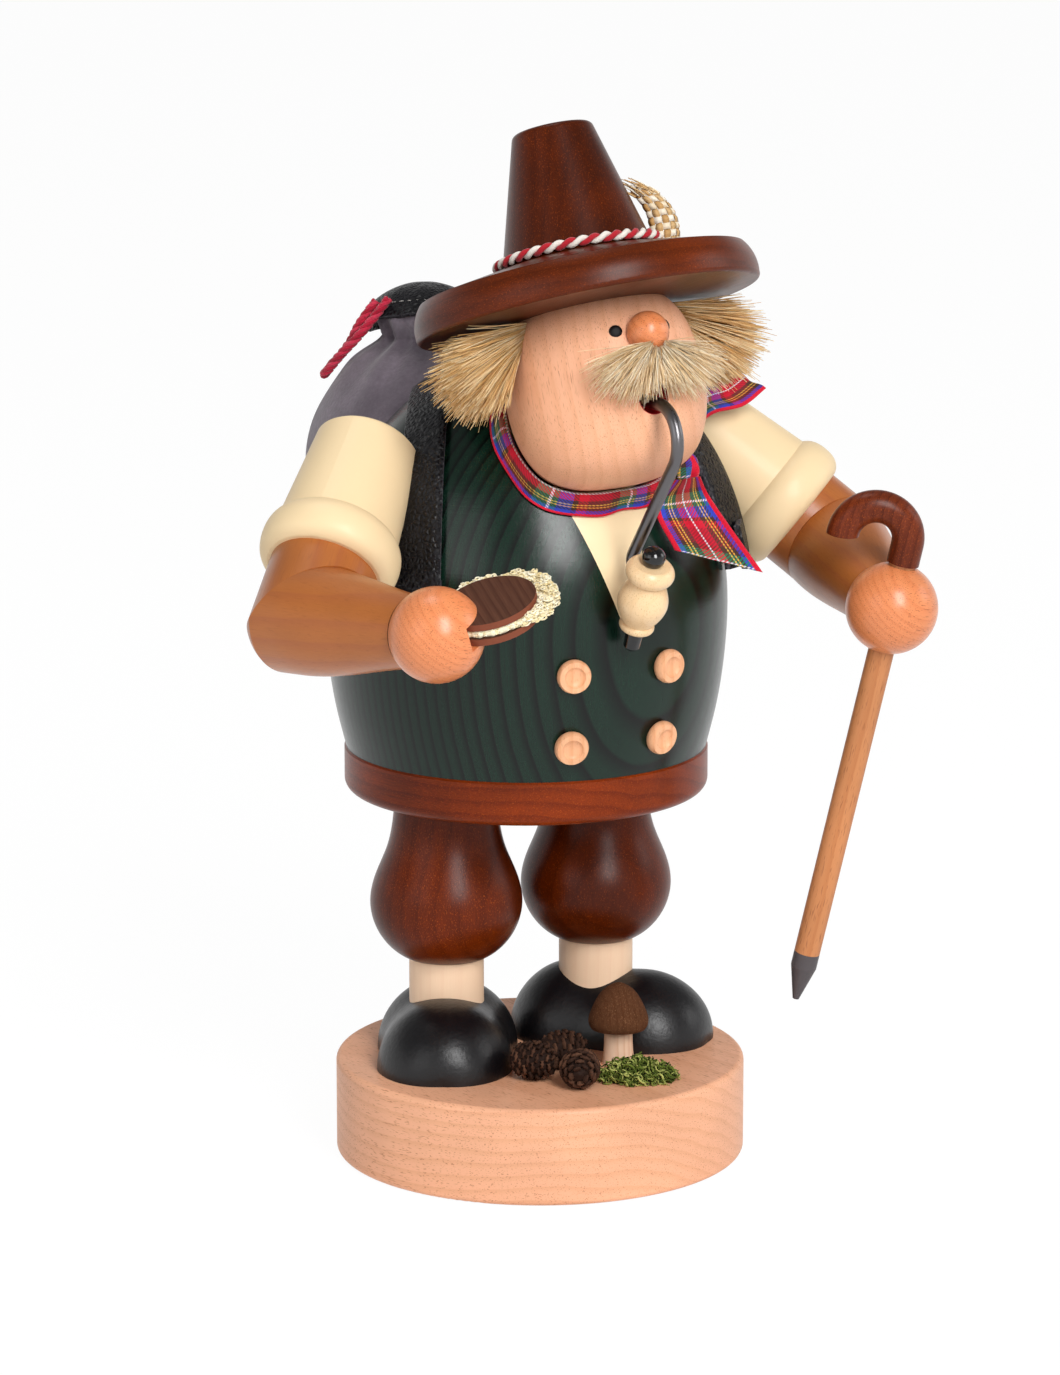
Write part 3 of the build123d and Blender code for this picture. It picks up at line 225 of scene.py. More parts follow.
# Oiled pear wood is warm brown, very fine and even
pear = dict(early="#B0672F", late="#A96030", streak="#8E4C22", ray="#7A401C", fleck=0.2, rough=0.36, coat=0.3,
            ring=5.0, cloud=0.12, pith=(10, 140, 0))
woods = {  # material: the solids it dresses, and its choices
    "beech_oiled_base": (["base_disc"], dict(
        beech, late="#E6A882", streak="#DC9D77", ray="#B97651", fleckSize=(0.3, 2.2), fibre=levelWay,
        pith=(8, 95, 0), ring=3.4, rough=0.5, coat=0.1)),
    "beech_waxed_hands": (["hand_right", "hand_left", "nose"], dict(
        early="#E48D5A", late="#DC8250", streak="#C06A3E", ray="#8E441F", fleck=0.75, fleckSize=(0.22, 1.9),
        fibre=(0.93, 0.3, -0.2), pith=(30, -60, 0), ring=1.8, rough=0.32, coat=0.4)),
    "beech_buttons": (["vest_buttons"], dict(
        early="#F2B78C", late="#E7A678", streak="#D79062", ray="#A9653C", fleck=0.3, fleckSize=(0.3, 1.5),
        rough=0.4)),
    "beech_dowels": (["leg_dowels", "hat_dowel", "shoulder_dowels", "wrist_dowels", "neck_tube"], dict(
        beech, ring=2.4, rough=0.6, coat=0.0)),
    "beech_stick": (["stick_shaft"], dict(
        early="#C98655", late="#BD7847", streak="#A9653A", ray="#7A3F22", fleck=0.5, fleckSize=(0.3, 3.0),
        fibre=stickWay, ring=3.0, rough=0.5, coat=0.1)),
    "maple_stockings": (["stocking_right", "stocking_left"], dict(
        early="#F6D3B2", late="#F4CFAE", streak="#EBC29E", ring=3.0, rough=0.5, coat=0.1, pith=(50, -60, 0))),
    "maple_mushroom_stem": (["mushroom_stem"], dict(
        early="#F0CDB0", late="#E2B696", streak="#CFA07E", ring=1.6, rough=0.6, coat=0.0, pith=(20, 30, 0))),
    "maple_pipe_bowl": (["pipe_bowl"], dict(
        early="#F0CFA2", late="#EECB9C", streak="#E0B684", ray="#9C6C40", fleck=0.45, fleckSize=(0.2, 0.7),
        fibre=(0, -0.4163, 0.9092), pith=(14, -60, 0), ring=2.4, rough=0.3, coat=0.45)),
    "brown_stain_breeches_right": (["breeches_right"], dict(brown, ring=4.0, pith=(62, -60, 0))),
    "brown_stain_breeches_left": (["breeches_left"], dict(brown, ring=4.0, pith=(-30, -60, 0))),
    "brown_stain_hip": (["hip_disc"], dict(
        brown, early="#7C2C04", late="#6A2202", fibre=levelWay, ring=3.6, pith=(5, 150, 0))),
    "brown_stain_crown": (["hat_crown"], dict(hatBrown, fibre=headUp, pith=(40, -60, 0))),
    "brown_stain_brim": (["hat_brim"], dict(
        hatBrown, early="#5E2204", late="#521C02", fibre=(0.2, -0.93, 0.32), pith=(5, 90, 0))),
    "brown_stain_crook": (["stick_crook"], dict(
        brown, early="#6A2C15", late="#57200D", ring=2.2, pith=(8, -30, 0), fibre=stickWay)),
    "brown_stain_mushroom": (["mushroom_cap"], dict(
        early="#64402A", late="#5C3924", streak="#3C2012", ray="#8A6144", fleck=0.6, fleckSize=(0.3, 0.4),
        ring=1.6, rough=0.9, coat=0.0, ior=1.15, bump=0.8, fibreTone=0.6)),
    "pear_forearm_right": (["forearm_right"], dict(pear, fibre=(0.305, -0.951, 0.058))),
    "pear_forearm_left": (["forearm_left"], dict(pear, fibre=(-0.191, -0.963, -0.191))),
    "pear_elbow_right": (["elbow_right"], dict(pear, fibre=(-0.557, -0.514, -0.652))),
    "pear_elbow_left": (["elbow_left"], dict(pear, fibre=(0.628, -0.469, -0.62))),
}
for name, (dressed, choice) in woods.items():
    dress(turnedWood(name, **choice)[0], *dressed)

# The mouth is a bored hole painted dark red: a disc about the bore's axis
mouth = {"x": -0.433, "z": 204.125, "radius": 4.12, "behind": -45.0, "paint": "#C21A22"}
headWood = turnedWood("beech_oiled_head", **dict(
    beech, ray="#A05A36", fleck=0.6, fleckSize=(0.2, 3.0), fibre=headUp, pith=(40, 90, 0), ring=4.0, rough=0.48,
    coat=0.1))
tree, coord = headWood[1], headWood[3]
off = addNode(tree, "Mapping", {
    "Vector": coord, "Scale": (1000, 0, 1000), "Location": (-mouth["x"], 0, -mouth["z"])})
off = addNode(tree, "VectorMath", {0: off}, "Value", operation="LENGTH")
depth = addNode(tree, "SeparateXYZ", {0: coord}, 1)
inFront = addNode(tree, "Math", {0: depth, 1: mouth["behind"] * mm}, operation="LESS_THAN")
bored = addNode(tree, "Math", {0: off, 1: mouth["radius"]}, operation="LESS_THAN")
bored = addNode(tree, "Math", {0: bored, 1: inFront}, operation="MULTIPLY")
paintOver(headWood, bored, mouth["paint"], "head")

# Walnut slices: the flat faces are painted darker and the turned edges paler and redder, as painted shade and
# painted light for how the light falls on them
slices = {"up": (-0.34, -0.207, 0.917), "rim": 0.7, "paintedLightEdgeColour": "#7E4531"}
sliceWood = turnedWood("walnut_slices", early="#5E3B2C", late="#4C2C1F", streak="#28120A", ring=0.9, rough=0.6,
                       coat=0.0, ior=1.25, pith=(60, 40, 0), fibre=(0.17, 0.94, 0.28), fibreTone=0.5)
tree = sliceWood[1]
facing = addNode(tree, "VectorMath", {0: addNode(tree, "TexCoord", out="Normal"), 1: slices["up"]}, "Value",
                 operation="DOT_PRODUCT")
facing = addNode(tree, "Math", {0: facing}, operation="ABSOLUTE")
# faces that do not face the slices' up take the paler colour as painted light; the flat faces keep the darker wood
# as painted shade
rim = addNode(tree, "Math", {0: facing, 1: slices["rim"]}, operation="LESS_THAN")
paintOver(sliceWood, rim, slices["paintedLightEdgeColour"], "bread_lower", "bread_upper")

# Green stain on coarse-ringed wood: soft early wood goes green, hard late wood black. A cream V is painted on it.
shirt = {"tip": 144.9, "slope": 0.388, "behind": -20.0, "paint": "#F6DEB4"}
torsoWood = turnedWood("green_stain_torso", early="#0B261B", late="#010202", streak="#030806", ring=2.7,
                       pith=(129, -606, 0), rough=0.22, coat=0.0, ior=1.4, bump=0.07, fibreTone=0.35, toolMark=1.4,
                       wander=0.4)
tree = torsoWood[1]
axes = addNode(tree, "SeparateXYZ", {0: torsoWood[3]}, None).outputs
half = addNode(tree, "Math", {0: axes[2], 1: shirt["tip"] * mm}, operation="SUBTRACT")
half = addNode(tree, "Math", {0: half, 1: shirt["slope"]}, operation="MULTIPLY")
aside = addNode(tree, "Math", {0: axes[0]}, operation="ABSOLUTE")
inside = addNode(tree, "Math", {0: aside, 1: half}, operation="LESS_THAN")
inFront = addNode(tree, "Math", {0: axes[1], 1: shirt["behind"] * mm}, operation="LESS_THAN")
inside = addNode(tree, "Math", {0: inside, 1: inFront}, operation="MULTIPLY")
paintOver(torsoWood, inside, shirt["paint"], "torso")


def paintedWood(name, colour, rough, coat, ior, thin=0.03, peelDepth=0.12):
    # Sprayed lacquer on turned wood: even colour, faint drift, and a trace of peel in the relief
    mat, tree, shader, coord = startMaterial(name, Coat_Weight=coat, Coat_Roughness=0.16, IOR=ior)
    drifted = gritty(tree, coord, linear(colour), 28.0, 3.0, 1 - thin, 1 + thin)[0]
    peel = addNode(tree, "TexNoise", {"Vector": coord, "Scale": 900.0, "Detail": 2.0})
    level = addNode(tree, "MapRange", {"Value": peel, "To Min": rough - 0.05, "To Max": rough + 0.08})
    finishSurface(tree, shader, drifted, level, peel, (peelDepth, 0.2))
    return mat


dress(paintedWood("satin_black_shoes", "#09070A", 0.36, 0.0, 1.45, 0.2, 0.35), "shoe_right", "shoe_left")
dress(paintedWood("cream_lacquer_sleeves", "#F0D6AA", 0.5, 0.1, 1.4), "sleeve_right", "sleeve_left")
dress(paintedWood("black_gloss_pipe", "#040405", 0.1, 0.4, 1.45, 0.1), "pipe_knob", "pipe_tip")
dress(paintedWood("satin_black_eyes", "#050506", 0.5, 0.0, 1.3, 0.1), "eyes")
dress(paintedWood("grey_paint_ferrule", "#504A4C", 0.5, 0.0, 1.4, 0.1), "stick_ferrule")


def drawnMetal(name, colour, rough, spread):
    # Drawn or pressed metal: fine drawing lines in the roughness
    mat, tree, shader, coord = startMaterial(name, Metallic=1.0, Base_Color=linear(colour))
    line = addNode(tree, "Mapping", {"Vector": coord, "Scale": (1600, 200, 200)})
    line = addNode(tree, "TexNoise", {"Vector": line, "Scale": 1.0, "Detail": 3.0})
    level = addNode(tree, "MapRange", {"Value": line, "To Min": rough - spread, "To Max": rough + spread})
    tree.links.new(level, shader.inputs["Roughness"])
    return mat


dress(drawnMetal("steel_wire", "#6E6C6E", 0.3, 0.08), "pipe_stem")
dress(drawnMetal("tinned_sheet", "#A7A5A0", 0.36, 0.1), "burner_plate")
dress(drawnMetal("zinc_screw", "#B9B6AE", 0.3, 0.06), "burner_screw")
print("wood, paint and metal done")


# Shapes


def way(x, y, z):
    # a place or direction as an array
    return np.array([x, y, z], float)


def stacked(*parts):
    # arrays of any matching shapes as the last axis of one array
    return np.stack(np.broadcast_arrays(*parts), -1)


def runLength(points):
    # the length along a line up to each of its points
    return np.concatenate([[0], np.cumsum(np.linalg.norm(np.diff(points, axis=0), axis=1))])


def smoothLine(points, count):
    # Catmull-Rom curve through points, as count samples
    points = np.asarray(points, float)
    padded = np.vstack([2 * points[0] - points[1], points, 2 * points[-1] - points[-2]])
    at = np.linspace(0, len(points) - 1 - 1e-9, count)
    first = at.astype(int)
    t = (at - first)[:, None]
    a, b, c, d = (padded[first + k] for k in range(4))
    return 0.5 * (2 * b + (c - a) * t + (2 * a - 5 * b + 4 * c - d) * t**2 + (3 * b - a - 3 * c + d) * t**3)


def unitRows(rows):
    # each row at length 1
    return rows / np.maximum(np.linalg.norm(rows, axis=-1, keepdims=True), 1e-12)


def gridShell(points, lay, wrapU=False, wrapV=False):
    # a grid of points (u, v, 3) as quads; where it wraps one way only, a cap closes each open end
    countU, countV = points.shape[:2]
    u = np.arange(countU if wrapU else countU - 1)[:, None]
    v = np.arange(countV if wrapV else countV - 1)[None, :]
    nextU = (u + 1) % countU
    nextV = (v + 1) % countV
    quads = np.stack([u * countV + v, nextU * countV + v, nextU * countV + nextV, u * countV + nextV], -1)
    faces = [quads.reshape(-1, 4)]
    if wrapV and not wrapU:
        ring = np.arange(countV)[None]
        faces += [ring[:, ::-1], ring + (countU - 1) * countV]
    if wrapU and not wrapV:
        ring = np.arange(countU)[None] * countV
        faces += [ring, ring[:, ::-1] + countV - 1]
    return points.reshape(-1, 3), faces, np.broadcast_to(lay, points.shape).reshape(-1, 3)


def tubeShell(paths, radii, tone, sides=4):
    # round tubes about paths (n, k, 3): at each step a ring square to the path, closed by caps at both ends
    count, steps = paths.shape[:2]
    along = unitRows(np.gradient(paths, axis=1))
    guide = np.where(np.abs(along[..., 2:3]) < 0.8, way(0, 0, 1), way(1, 0, 0))
    across = unitRows(np.cross(along, guide))
    above = np.cross(along, across)
    angle = np.arange(sides) * 2 * np.pi / sides
    ring = np.cos(angle)[:, None] * across[:, :, None] + np.sin(angle)[:, None] * above[:, :, None]
    points = paths[:, :, None] + radii[:, :, None, None] * ring
    base = (np.arange(count) * steps * sides)[:, None, None]
    k = base + np.arange(steps - 1)[None, :, None] * sides
    s = np.arange(sides)[None, None, :]
    after = (s + 1) % sides
    quads = np.stack([k + s, k + after, k + sides + after, k + sides + s], -1)
    start = base[:, 0] + np.arange(sides)[::-1]
    end = base[:, 0] + (steps - 1) * sides + np.arange(sides)
    lay = stacked(np.linspace(0, 1, steps)[None, :, None], s / sides, tone[:, None, None])
    return points.reshape(-1, 3), [quads.reshape(-1, 4), start, end], lay.reshape(-1, 3)


def addObject(name, data):
    # a new object in the scene, at the origin
    made = bpy.data.objects.new(name, data)
    bpy.context.scene.collection.objects.link(made)
    return made


def aimAt(thing, place, target):
    # stands a camera or lamp at a place and turns it to a target
    thing.location = place
    thing.rotation_euler = (Vector(target) - Vector(place)).to_track_quat("-Z", "Y").to_euler()


def addPiece(name, shells, mat, body, replaced=None):
    # several shells joined into one object at the origin, faces turned outwards
    points, faces, lay, offset = [], [], [], 0
    for shellPoints, shellFaces, shellLay in shells:
        points.append(shellPoints)
        lay.append(shellLay)
        for block in shellFaces:
            faces.extend((block + offset).tolist())
        offset += len(shellPoints)
    mesh = bpy.data.meshes.new(name)
    mesh.from_pydata((np.vstack(points) * mm).tolist(), [], faces)
    attribute = mesh.attributes.new("lay", "FLOAT_VECTOR", "POINT")
    attribute.data.foreach_set("vector", np.vstack(lay).astype(np.float32).ravel())
    work = bmesh.new()
    work.from_mesh(mesh)
    bmesh.ops.recalc_face_normals(work, faces=work.faces)
    work.to_mesh(mesh)
    work.free()
    mesh.shade_smooth()
    mesh.materials.append(mat)
    piece = addObject(name, mesh)
    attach(piece, body)
    if replaced:
        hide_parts(replaced)
    return piece


def domePoint(u):
    # the torso's dome in direction u from its middle
    level = (u[..., 0]**2 + u[..., 1]**2) / figure["bellyRadius"]**2
    size = np.sqrt(level + u[..., 2]**2 / figure["domeHeight"]**2)
    return figure["bellyMiddle"] + u / size[..., None]


def domeNormal(points):
    # the gradient of that ellipsoid
    away = points - figure["bellyMiddle"]
    return unitRows(away / np.array([figure["bellyRadius"]**2] * 2 + [figure["domeHeight"]**2]))


# the egg of the head: height along its axis from the hat's seat, and radius
headProfile = smoothLine([
    (-43.5, 0.0), (-43.2, 8.1), (-41.6, 14.0), (-38.4, 18.8), (-33.5, 22.0), (-27.0, 24.0), (-19.1, 24.6),
    (-11.5, 24.0), (-5.0, 22.3), (0.0, 19.0)], 200)


def headDepth(points):
    # how far a point lies outside the egg, square to its axis
    away = points - figure["hatSeat"]
    height = away @ figure["headAxis"]
    radius = np.linalg.norm(away - height[..., None] * figure["headAxis"], axis=-1)
    return radius - np.interp(height, headProfile[:, 0], headProfile[:, 1])


def headNormal(points, step=0.05):
    # the slope of that distance
    slope = [headDepth(points + step * axis) - headDepth(points - step * axis) for axis in np.eye(3)]
    return unitRows(stacked(*slope))


def headWay(turn):
    # outwards from the head, so many degrees from the face
    turn = np.radians(turn)
    return figure["faceWay"] * np.cos(turn)[..., None] - figure["sideWay"] * np.sin(turn)[..., None]


def headPoint(turn, drop):
    # on the egg, so far below the hat's seat
    radius = np.interp(-drop, headProfile[:, 0], headProfile[:, 1])
    return figure["hatSeat"] - figure["headAxis"] * drop[..., None] + headWay(turn) * radius[..., None]


# Camera at the photograph's place, and the red drawstring

camera = {"place": (-0.6103, -1.1478, 0.405), "target": (0, 0, 0.13), "lens": 137.06, "shift": (-0.00727, -0.0251)}
lensData = bpy.data.cameras.new("camera")
lensData.lens = camera["lens"]
lensData.sensor_width = 36
lensData.shift_x, lensData.shift_y = camera["shift"]
lensData.clip_start, lensData.clip_end = 0.05, 50
bpy.context.scene.camera = addObject("camera", lensData)
aimAt(bpy.context.scene.camera, camera["place"], camera["target"])

drawstring = {
    "bagTop": way(0, 64, 215),
    "places": np.array([
        (-12.9, -4.6, -0.9), (-19.6, -3.8, -9.0), (-23.2, 1.6, -15.0), (-25.6, 9.2, -22.6),
        (-22.2, 12.4, -20.8), (-19.2, 5.4, -13.8), (-19.0, 0.6, -7.6), (-14.9, -1.4, -1.9)]),
    "diameter": 2.2, "length": 0.0575, "pitch": 9.0, "turnRadius": 0.62, "plyRadius": 0.66,
    "tones": np.array([0.1, 0.7, 0.35, 0.95]),
}


def routeLine(points):
    # points along the smooth curve that has these as its control points
    curve = bpy.data.curves.new("route", "CURVE")
    curve.dimensions = "3D"
    curve.resolution_u = 24
    spline = curve.splines.new("NURBS")
    spline.points.add(len(points) - 1)
    spline.points.foreach_set("co", np.hstack([points * mm, np.ones((len(points), 1))]).ravel())
    spline.order_u = 3
    spline.use_endpoint_u = True
    holder = addObject("route", curve)
    bpy.context.view_layer.update()
    mesh = bpy.data.meshes.new_from_object(holder)
    line = np.zeros(len(mesh.vertices) * 3)
    mesh.vertices.foreach_get("co", line)
    bpy.data.objects.remove(holder)
    bpy.data.meshes.remove(mesh)
    return line.reshape(-1, 3) / mm


def pliedCord(line, spec):
    # plies twisted about a line: each winds round it once per pitch
    plies = len(spec["tones"])
    tangent = unitRows(np.gradient(line, axis=0))
    across = unitRows(np.cross(tangent, way(0.2, 0.3, 0.93)))
    above = np.cross(tangent, across)
    phase = 2 * np.pi * runLength(line) / spec["pitch"] + (np.arange(plies) * 2 * np.pi / plies)[:, None]
    paths = line + spec["turnRadius"] * (np.cos(phase)[..., None] * across + np.sin(phase)[..., None] * above)
    return tubeShell(paths, np.full(paths.shape[:2], spec["plyRadius"]), spec["tones"], 8)


def yarn(name, colours, fuzz):
    # Spun wool or cotton: soft fibres, colour by ply, no gloss
    return tonedMaterial(name, colours, (2200.0, 3.0, 1 - fuzz, 1 + fuzz), (0.6, 0.3), Roughness=0.85,
                         Specular_IOR_Level=0.15, Sheen_Weight=0.25, Sheen_Roughness=0.5)


redWool = yarn("red_wool_yarn", [(0.0, "#A2142E"), (0.5, "#C0203C"), (1.0, "#D23A54")], 0.4)
line = routeLine(drawstring["bagTop"] + drawstring["places"])
cordPiece = addPiece(
    "rucksack_cord_wool", [pliedCord(line, drawstring)], redWool, upper, "rucksack_cord")
print("camera and drawstring done")

# Hat cord: red and white plies laid round the foot of the crown
hatCord = {"height": 15.0, "ring": 19.9, "turnRadius": 0.62, "plyRadius": 0.72, "pitch": 6.0, "steps": 720,
           "sides": 8}
angle = np.linspace(0, 2 * np.pi, hatCord["steps"], endpoint=False)
radial = figure["faceWay"] * np.cos(angle)[:, None] + figure["sideWay"] * np.sin(angle)[:, None]
rounds = round(2 * np.pi * hatCord["ring"] / hatCord["pitch"])
ring = np.linspace(0, 2 * np.pi, hatCord["sides"], endpoint=False)[:, None]
shells = []
for ply in range(2):
    # the ply's middle winds about the cord's ring, and a round section follows it
    twist = (rounds * angle + ply * np.pi)[:, None]
    middle = figure["hatSeat"] + figure["headAxis"] * hatCord["height"] + radial * hatCord["ring"]
    middle = middle + hatCord["turnRadius"] * (np.cos(twist) * radial + np.sin(twist) * figure["headAxis"])
    ahead = unitRows(np.roll(middle, -1, 0) - np.roll(middle, 1, 0))
    across = unitRows(np.cross(ahead, radial))
    above = np.cross(across, ahead)
    section = np.cos(ring) * across[:, None] + np.sin(ring) * above[:, None]
    shells.append(gridShell(middle[:, None] + hatCord["plyRadius"] * section, (0, 0, ply), True, True))
twistCotton = yarn(
    "twisted_cotton_cord", [(0.0, "#B3202C"), (0.45, "#B3202C"), (0.55, "#E9E2D8"), (1.0, "#E9E2D8")], 0.2)
addPiece("hat_cord_twist", shells, twistCotton, upper, "hat_cord")

# Plume: a rolled strip of plaited straw that stands on the brim beside the crown
plume = {"angle": 82.0, "foot": 13.0, "height": 14.6, "radius": 26.4, "roll": 4.2, "spread": 78.0, "twist": -78.0,
         "rows": 8, "columns": 6, "fullness": 0.86, "lift": 0.32, "thick": 0.22, "frays": 46, "frayRadius": 0.3}


def plumePoint(s, t, out):
    # s across the roll from -1 to 1, t up it from 0 to 1: a part of a cylinder that leans to the crown
    turn = math.radians(plume["angle"])
    outward = figure["faceWay"] * math.cos(turn) + figure["sideWay"] * math.sin(turn)
    sideways = figure["faceWay"] * -math.sin(turn) + figure["sideWay"] * math.cos(turn)
    bow = np.radians(plume["spread"] * s + plume["twist"])
    size = plume["roll"] * (1 - 0.25 * t**2) + out
    lean = plume["radius"] - plume["roll"] + 1.6 * np.sin(t * 2.2) - 4.4 * t**3
    place = outward * (lean + size * np.cos(bow))[..., None] + sideways * (size * np.sin(bow))[..., None]
    return figure["hatSeat"] + figure["headAxis"] * (plume["foot"] + plume["height"] * t)[..., None] + place


def plait(count, crossing, upright):
    # flat straws that pass over and under the crossing ones in turn
    shells = []
    run = np.linspace(0, 1, 10 * crossing + 1)[:, None]
    half = 0.5 * plume["fullness"] / count
    section = np.array([(-half, 0.5), (half, 0.5), (half, -0.5), (-half, -0.5)])
    for straw in range(count):
        over = np.cos(np.pi * (run * crossing - 0.5 + straw + (1 if upright else 0))) * plume["lift"]
        out = over + section[:, 1] * plume["thick"]
        along = np.broadcast_to(run, out.shape)
        edge = np.broadcast_to((straw + 0.5) / count + section[:, 0], out.shape)
        s, t = (edge, along) if upright else (along, edge)
        tone = (straw * 0.618) % 1 * 0.4 + (0.0 if upright else 0.6)
        shells.append(gridShell(plumePoint(2 * s - 1, t, out), stacked(along, edge, tone), False, True))
    return shells


def frayedEnds(count):
    # loose straw ends that curl on from the plait's top
    s = rng.uniform(-1, 1, count)
    run = np.linspace(0, 1, 6)
    reach = rng.uniform(0.1, 0.36, count)
    curl = rng.uniform(-0.5, 0.9, count)
    t = 0.9 + run * reach[:, None]
    drift = s[:, None] - curl[:, None] * run**2 * 0.5
    out = rng.uniform(-0.5, 0.5, count)[:, None] + run * rng.uniform(-1.6, 1.2, count)[:, None]
    radii = plume["frayRadius"] * (1 - 0.75 * run) * np.ones((count, 1))
    return tubeShell(plumePoint(drift, t, out), radii, rng.uniform(0, 1, count), 3)


# Straw: split and bleached, a soft shine and fine ribs
straw = tonedMaterial("plaited_straw", [(0.0, "#C9995C"), (0.4, "#DDB883"), (0.6, "#F0DDBC"), (1.0, "#FFF6E6")],
                      (1500.0, 2.0, 0.75, 1.1), Roughness=0.55, Specular_IOR_Level=0.3)
plaited = plait(plume["columns"], plume["rows"], True) + plait(plume["rows"], plume["columns"], False)
addPiece("hat_plume_straw", plaited + [frayedEnds(plume["frays"])], straw, upper, "hat_plume")
print("hat cord and plume done")


# Bristles


def bristleMaterial(name, dark, middle, pale):
    # Natural bristle: straw-blond with a soft shine along it; painted shade darkens it at the root, where the
    # bristles crowd, and painted light lifts it a little towards the tip
    mat, tree, shader, coord = startMaterial(name, Roughness=0.42, Specular_IOR_Level=0.35)
    parts = laid(tree)
    colour = addNode(tree, "ValToRGB", {"Fac": parts[2]}, stops=[(0.0, dark), (0.45, middle), (1.0, pale)])
    # painted shade at the root and painted light towards the tip, along each bristle
    root = addNode(tree, "MapRange", {"Value": parts[0], "From Max": 0.7, "To Min": 0.82, "To Max": 1.08})
    toned = addNode(tree, "Mix", {0: 1.0, 6: colour, 7: root}, 2, data_type="RGBA", blend_type="MULTIPLY")
    finishSurface(tree, shader, toned)
    return mat


def bristles(spec, start, aim, length, sag):
    # straight aims, bent by sag and a chance bow that grow with the square of the way, and thinner at the tip
    count = spec["count"]
    run = np.linspace(0, 1, 6)[None, :, None]
    bow = rng.normal(0, spec["bow"], (count, 1, 3)) - way(0, 0, spec["droop"]) * sag[:, None, None]
    paths = start[:, None] + aim[:, None] * run * length[:, None, None] + bow * run**2
    radii = spec["thick"] * (1 - 0.55 * run[..., 0]**2) * rng.uniform(0.75, spec["thickest"], (count, 1))
    return tubeShell(paths, radii, np.clip(rng.normal(spec["tone"], 0.25, count), 0, 1), 3)


hair = {"count": 1500, "drop": 5.2, "lean": 24.0, "width": 10.2, "height": 9.6, "spread": 0.42,
        "lengths": [20.8, 25.5, 23.2, 18.5, 12.5], "droop": 0.5, "bow": 0.8, "thick": 0.16, "thickest": 1.2,
        "tone": 0.5}


def sideHair(side):
    # bristles from a slip beside the head: the lower ones point further down, all sag a little
    count = hair["count"]
    turn = np.array(-90.0 * side)
    out = headWay(turn)
    down = -figure["headAxis"]
    lean = math.radians(hair["lean"])
    normal = out * math.cos(lean) - down * math.sin(lean)
    root = headPoint(turn, np.array(hair["drop"])) - normal * 0.6
    back = np.cross(down, out)
    fall = np.cross(normal, back)
    aside = rng.uniform(-0.5, 0.5, count)
    low = rng.uniform(0, 1, count)
    start = root + back * (aside * hair["width"])[:, None] + fall * ((low - 0.5) * hair["height"])[:, None]
    aim = out * (1 - 0.4 * low)[:, None] + down * (0.1 + 0.72 * low)[:, None]
    aim = aim + back * (hair["spread"] * aside)[:, None]
    aim = unitRows(aim + rng.normal(0, 0.06, (count, 3)))
    length = np.interp(low, [0, 0.3, 0.55, 0.85, 1], hair["lengths"]) * rng.uniform(0.8, 1.0, count)
    return bristles(hair, start, aim, length, 0.4 + low)


hairBristle = bristleMaterial("straw_bristle_hair", "#BC8848", "#E6BC7E", "#FFEFC8")
for side, name in bothSides:
    addPiece("hair_bristles_" + name, [sideHair(side)], hairBristle, upper, "hair_" + name)

whisker = {"count": 1500, "turn": -2.5, "drop": 12.8, "fan": 160.0, "root": 4.4, "deep": 5.2, "length": 15.6,
           "middle": 0.4, "droop": 1.6, "bow": 0.9, "thick": 0.13, "thickest": 1.15, "tone": 0.55}


def moustache():
    # bristles fan out below the nose; those above the mouth are shorter, the outer ones sag
    count = whisker["count"]
    turn = np.array(whisker["turn"])
    out = headWay(turn)
    centre = headPoint(turn, np.array(whisker["drop"]))
    flat = unitRows(np.cross(way(0, 0, 1), out))
    down = np.cross(flat, out)
    angle = np.radians(whisker["fan"] * rng.uniform(-0.5, 0.5, count))
    layer = rng.uniform(0, 1, count)
    aside = np.abs(np.sin(angle))
    spoke = down * np.cos(angle)[:, None] + flat * np.sin(angle)[:, None]
    inset = whisker["root"] - 2.6 * rng.uniform(0, 1, count)
    start = centre + out * (0.8 + layer * whisker["deep"])[:, None] + spoke * inset[:, None]
    aim = unitRows(spoke + out * (0.1 + 0.3 * layer - 0.28 * aside)[:, None] + rng.normal(0, 0.12, (count, 3)))
    length = whisker["length"] * (whisker["middle"] + (1 - whisker["middle"]) * aside)
    length = length * rng.uniform(0.75, 1.08, count)
    length = length + 2.0 * (1 - rng.uniform(0, 1, count)**0.2)
    return bristles(whisker, start, aim, length, 0.3 + aside)


lipBristle = bristleMaterial("straw_bristle_moustache", "#C69C64", "#EDCFA0", "#FFF6E0")
addPiece("moustache_bristles", [moustache()], lipBristle, upper, "moustache")
print("bristles done")


# Neckerchief of woven tartan ribbon

ribbon = {"repeat": 17.0, "thread": 0.8, "width": 16.0, "wall": 0.35}
warpSett = [  # across the ribbon, edge to middle in mm, then the same back to the other edge
    (0.0, "#D01230"), (1.2, "#3A38B4"), (2.3, "#382720"), (3.3, "#E8A83A"), (3.7, "#382720"), (4.2, "#DDB548"),
    (4.6, "#4A3026"), (5.9, "#C8142E"), (7.8, "#E8E2EA")]
weftSett = [  # along it, in one repeat
    (0.0, "#8E1A2A"), (5.2, "#4A2A22"), (7.0, "#0E7A58"), (9.6, "#E8E2EA"), (10.1, "#0E7A58"), (11.2, "#2448B8"),
    (14.0, "#4A2A22"), (15.0, "#C8142E")]


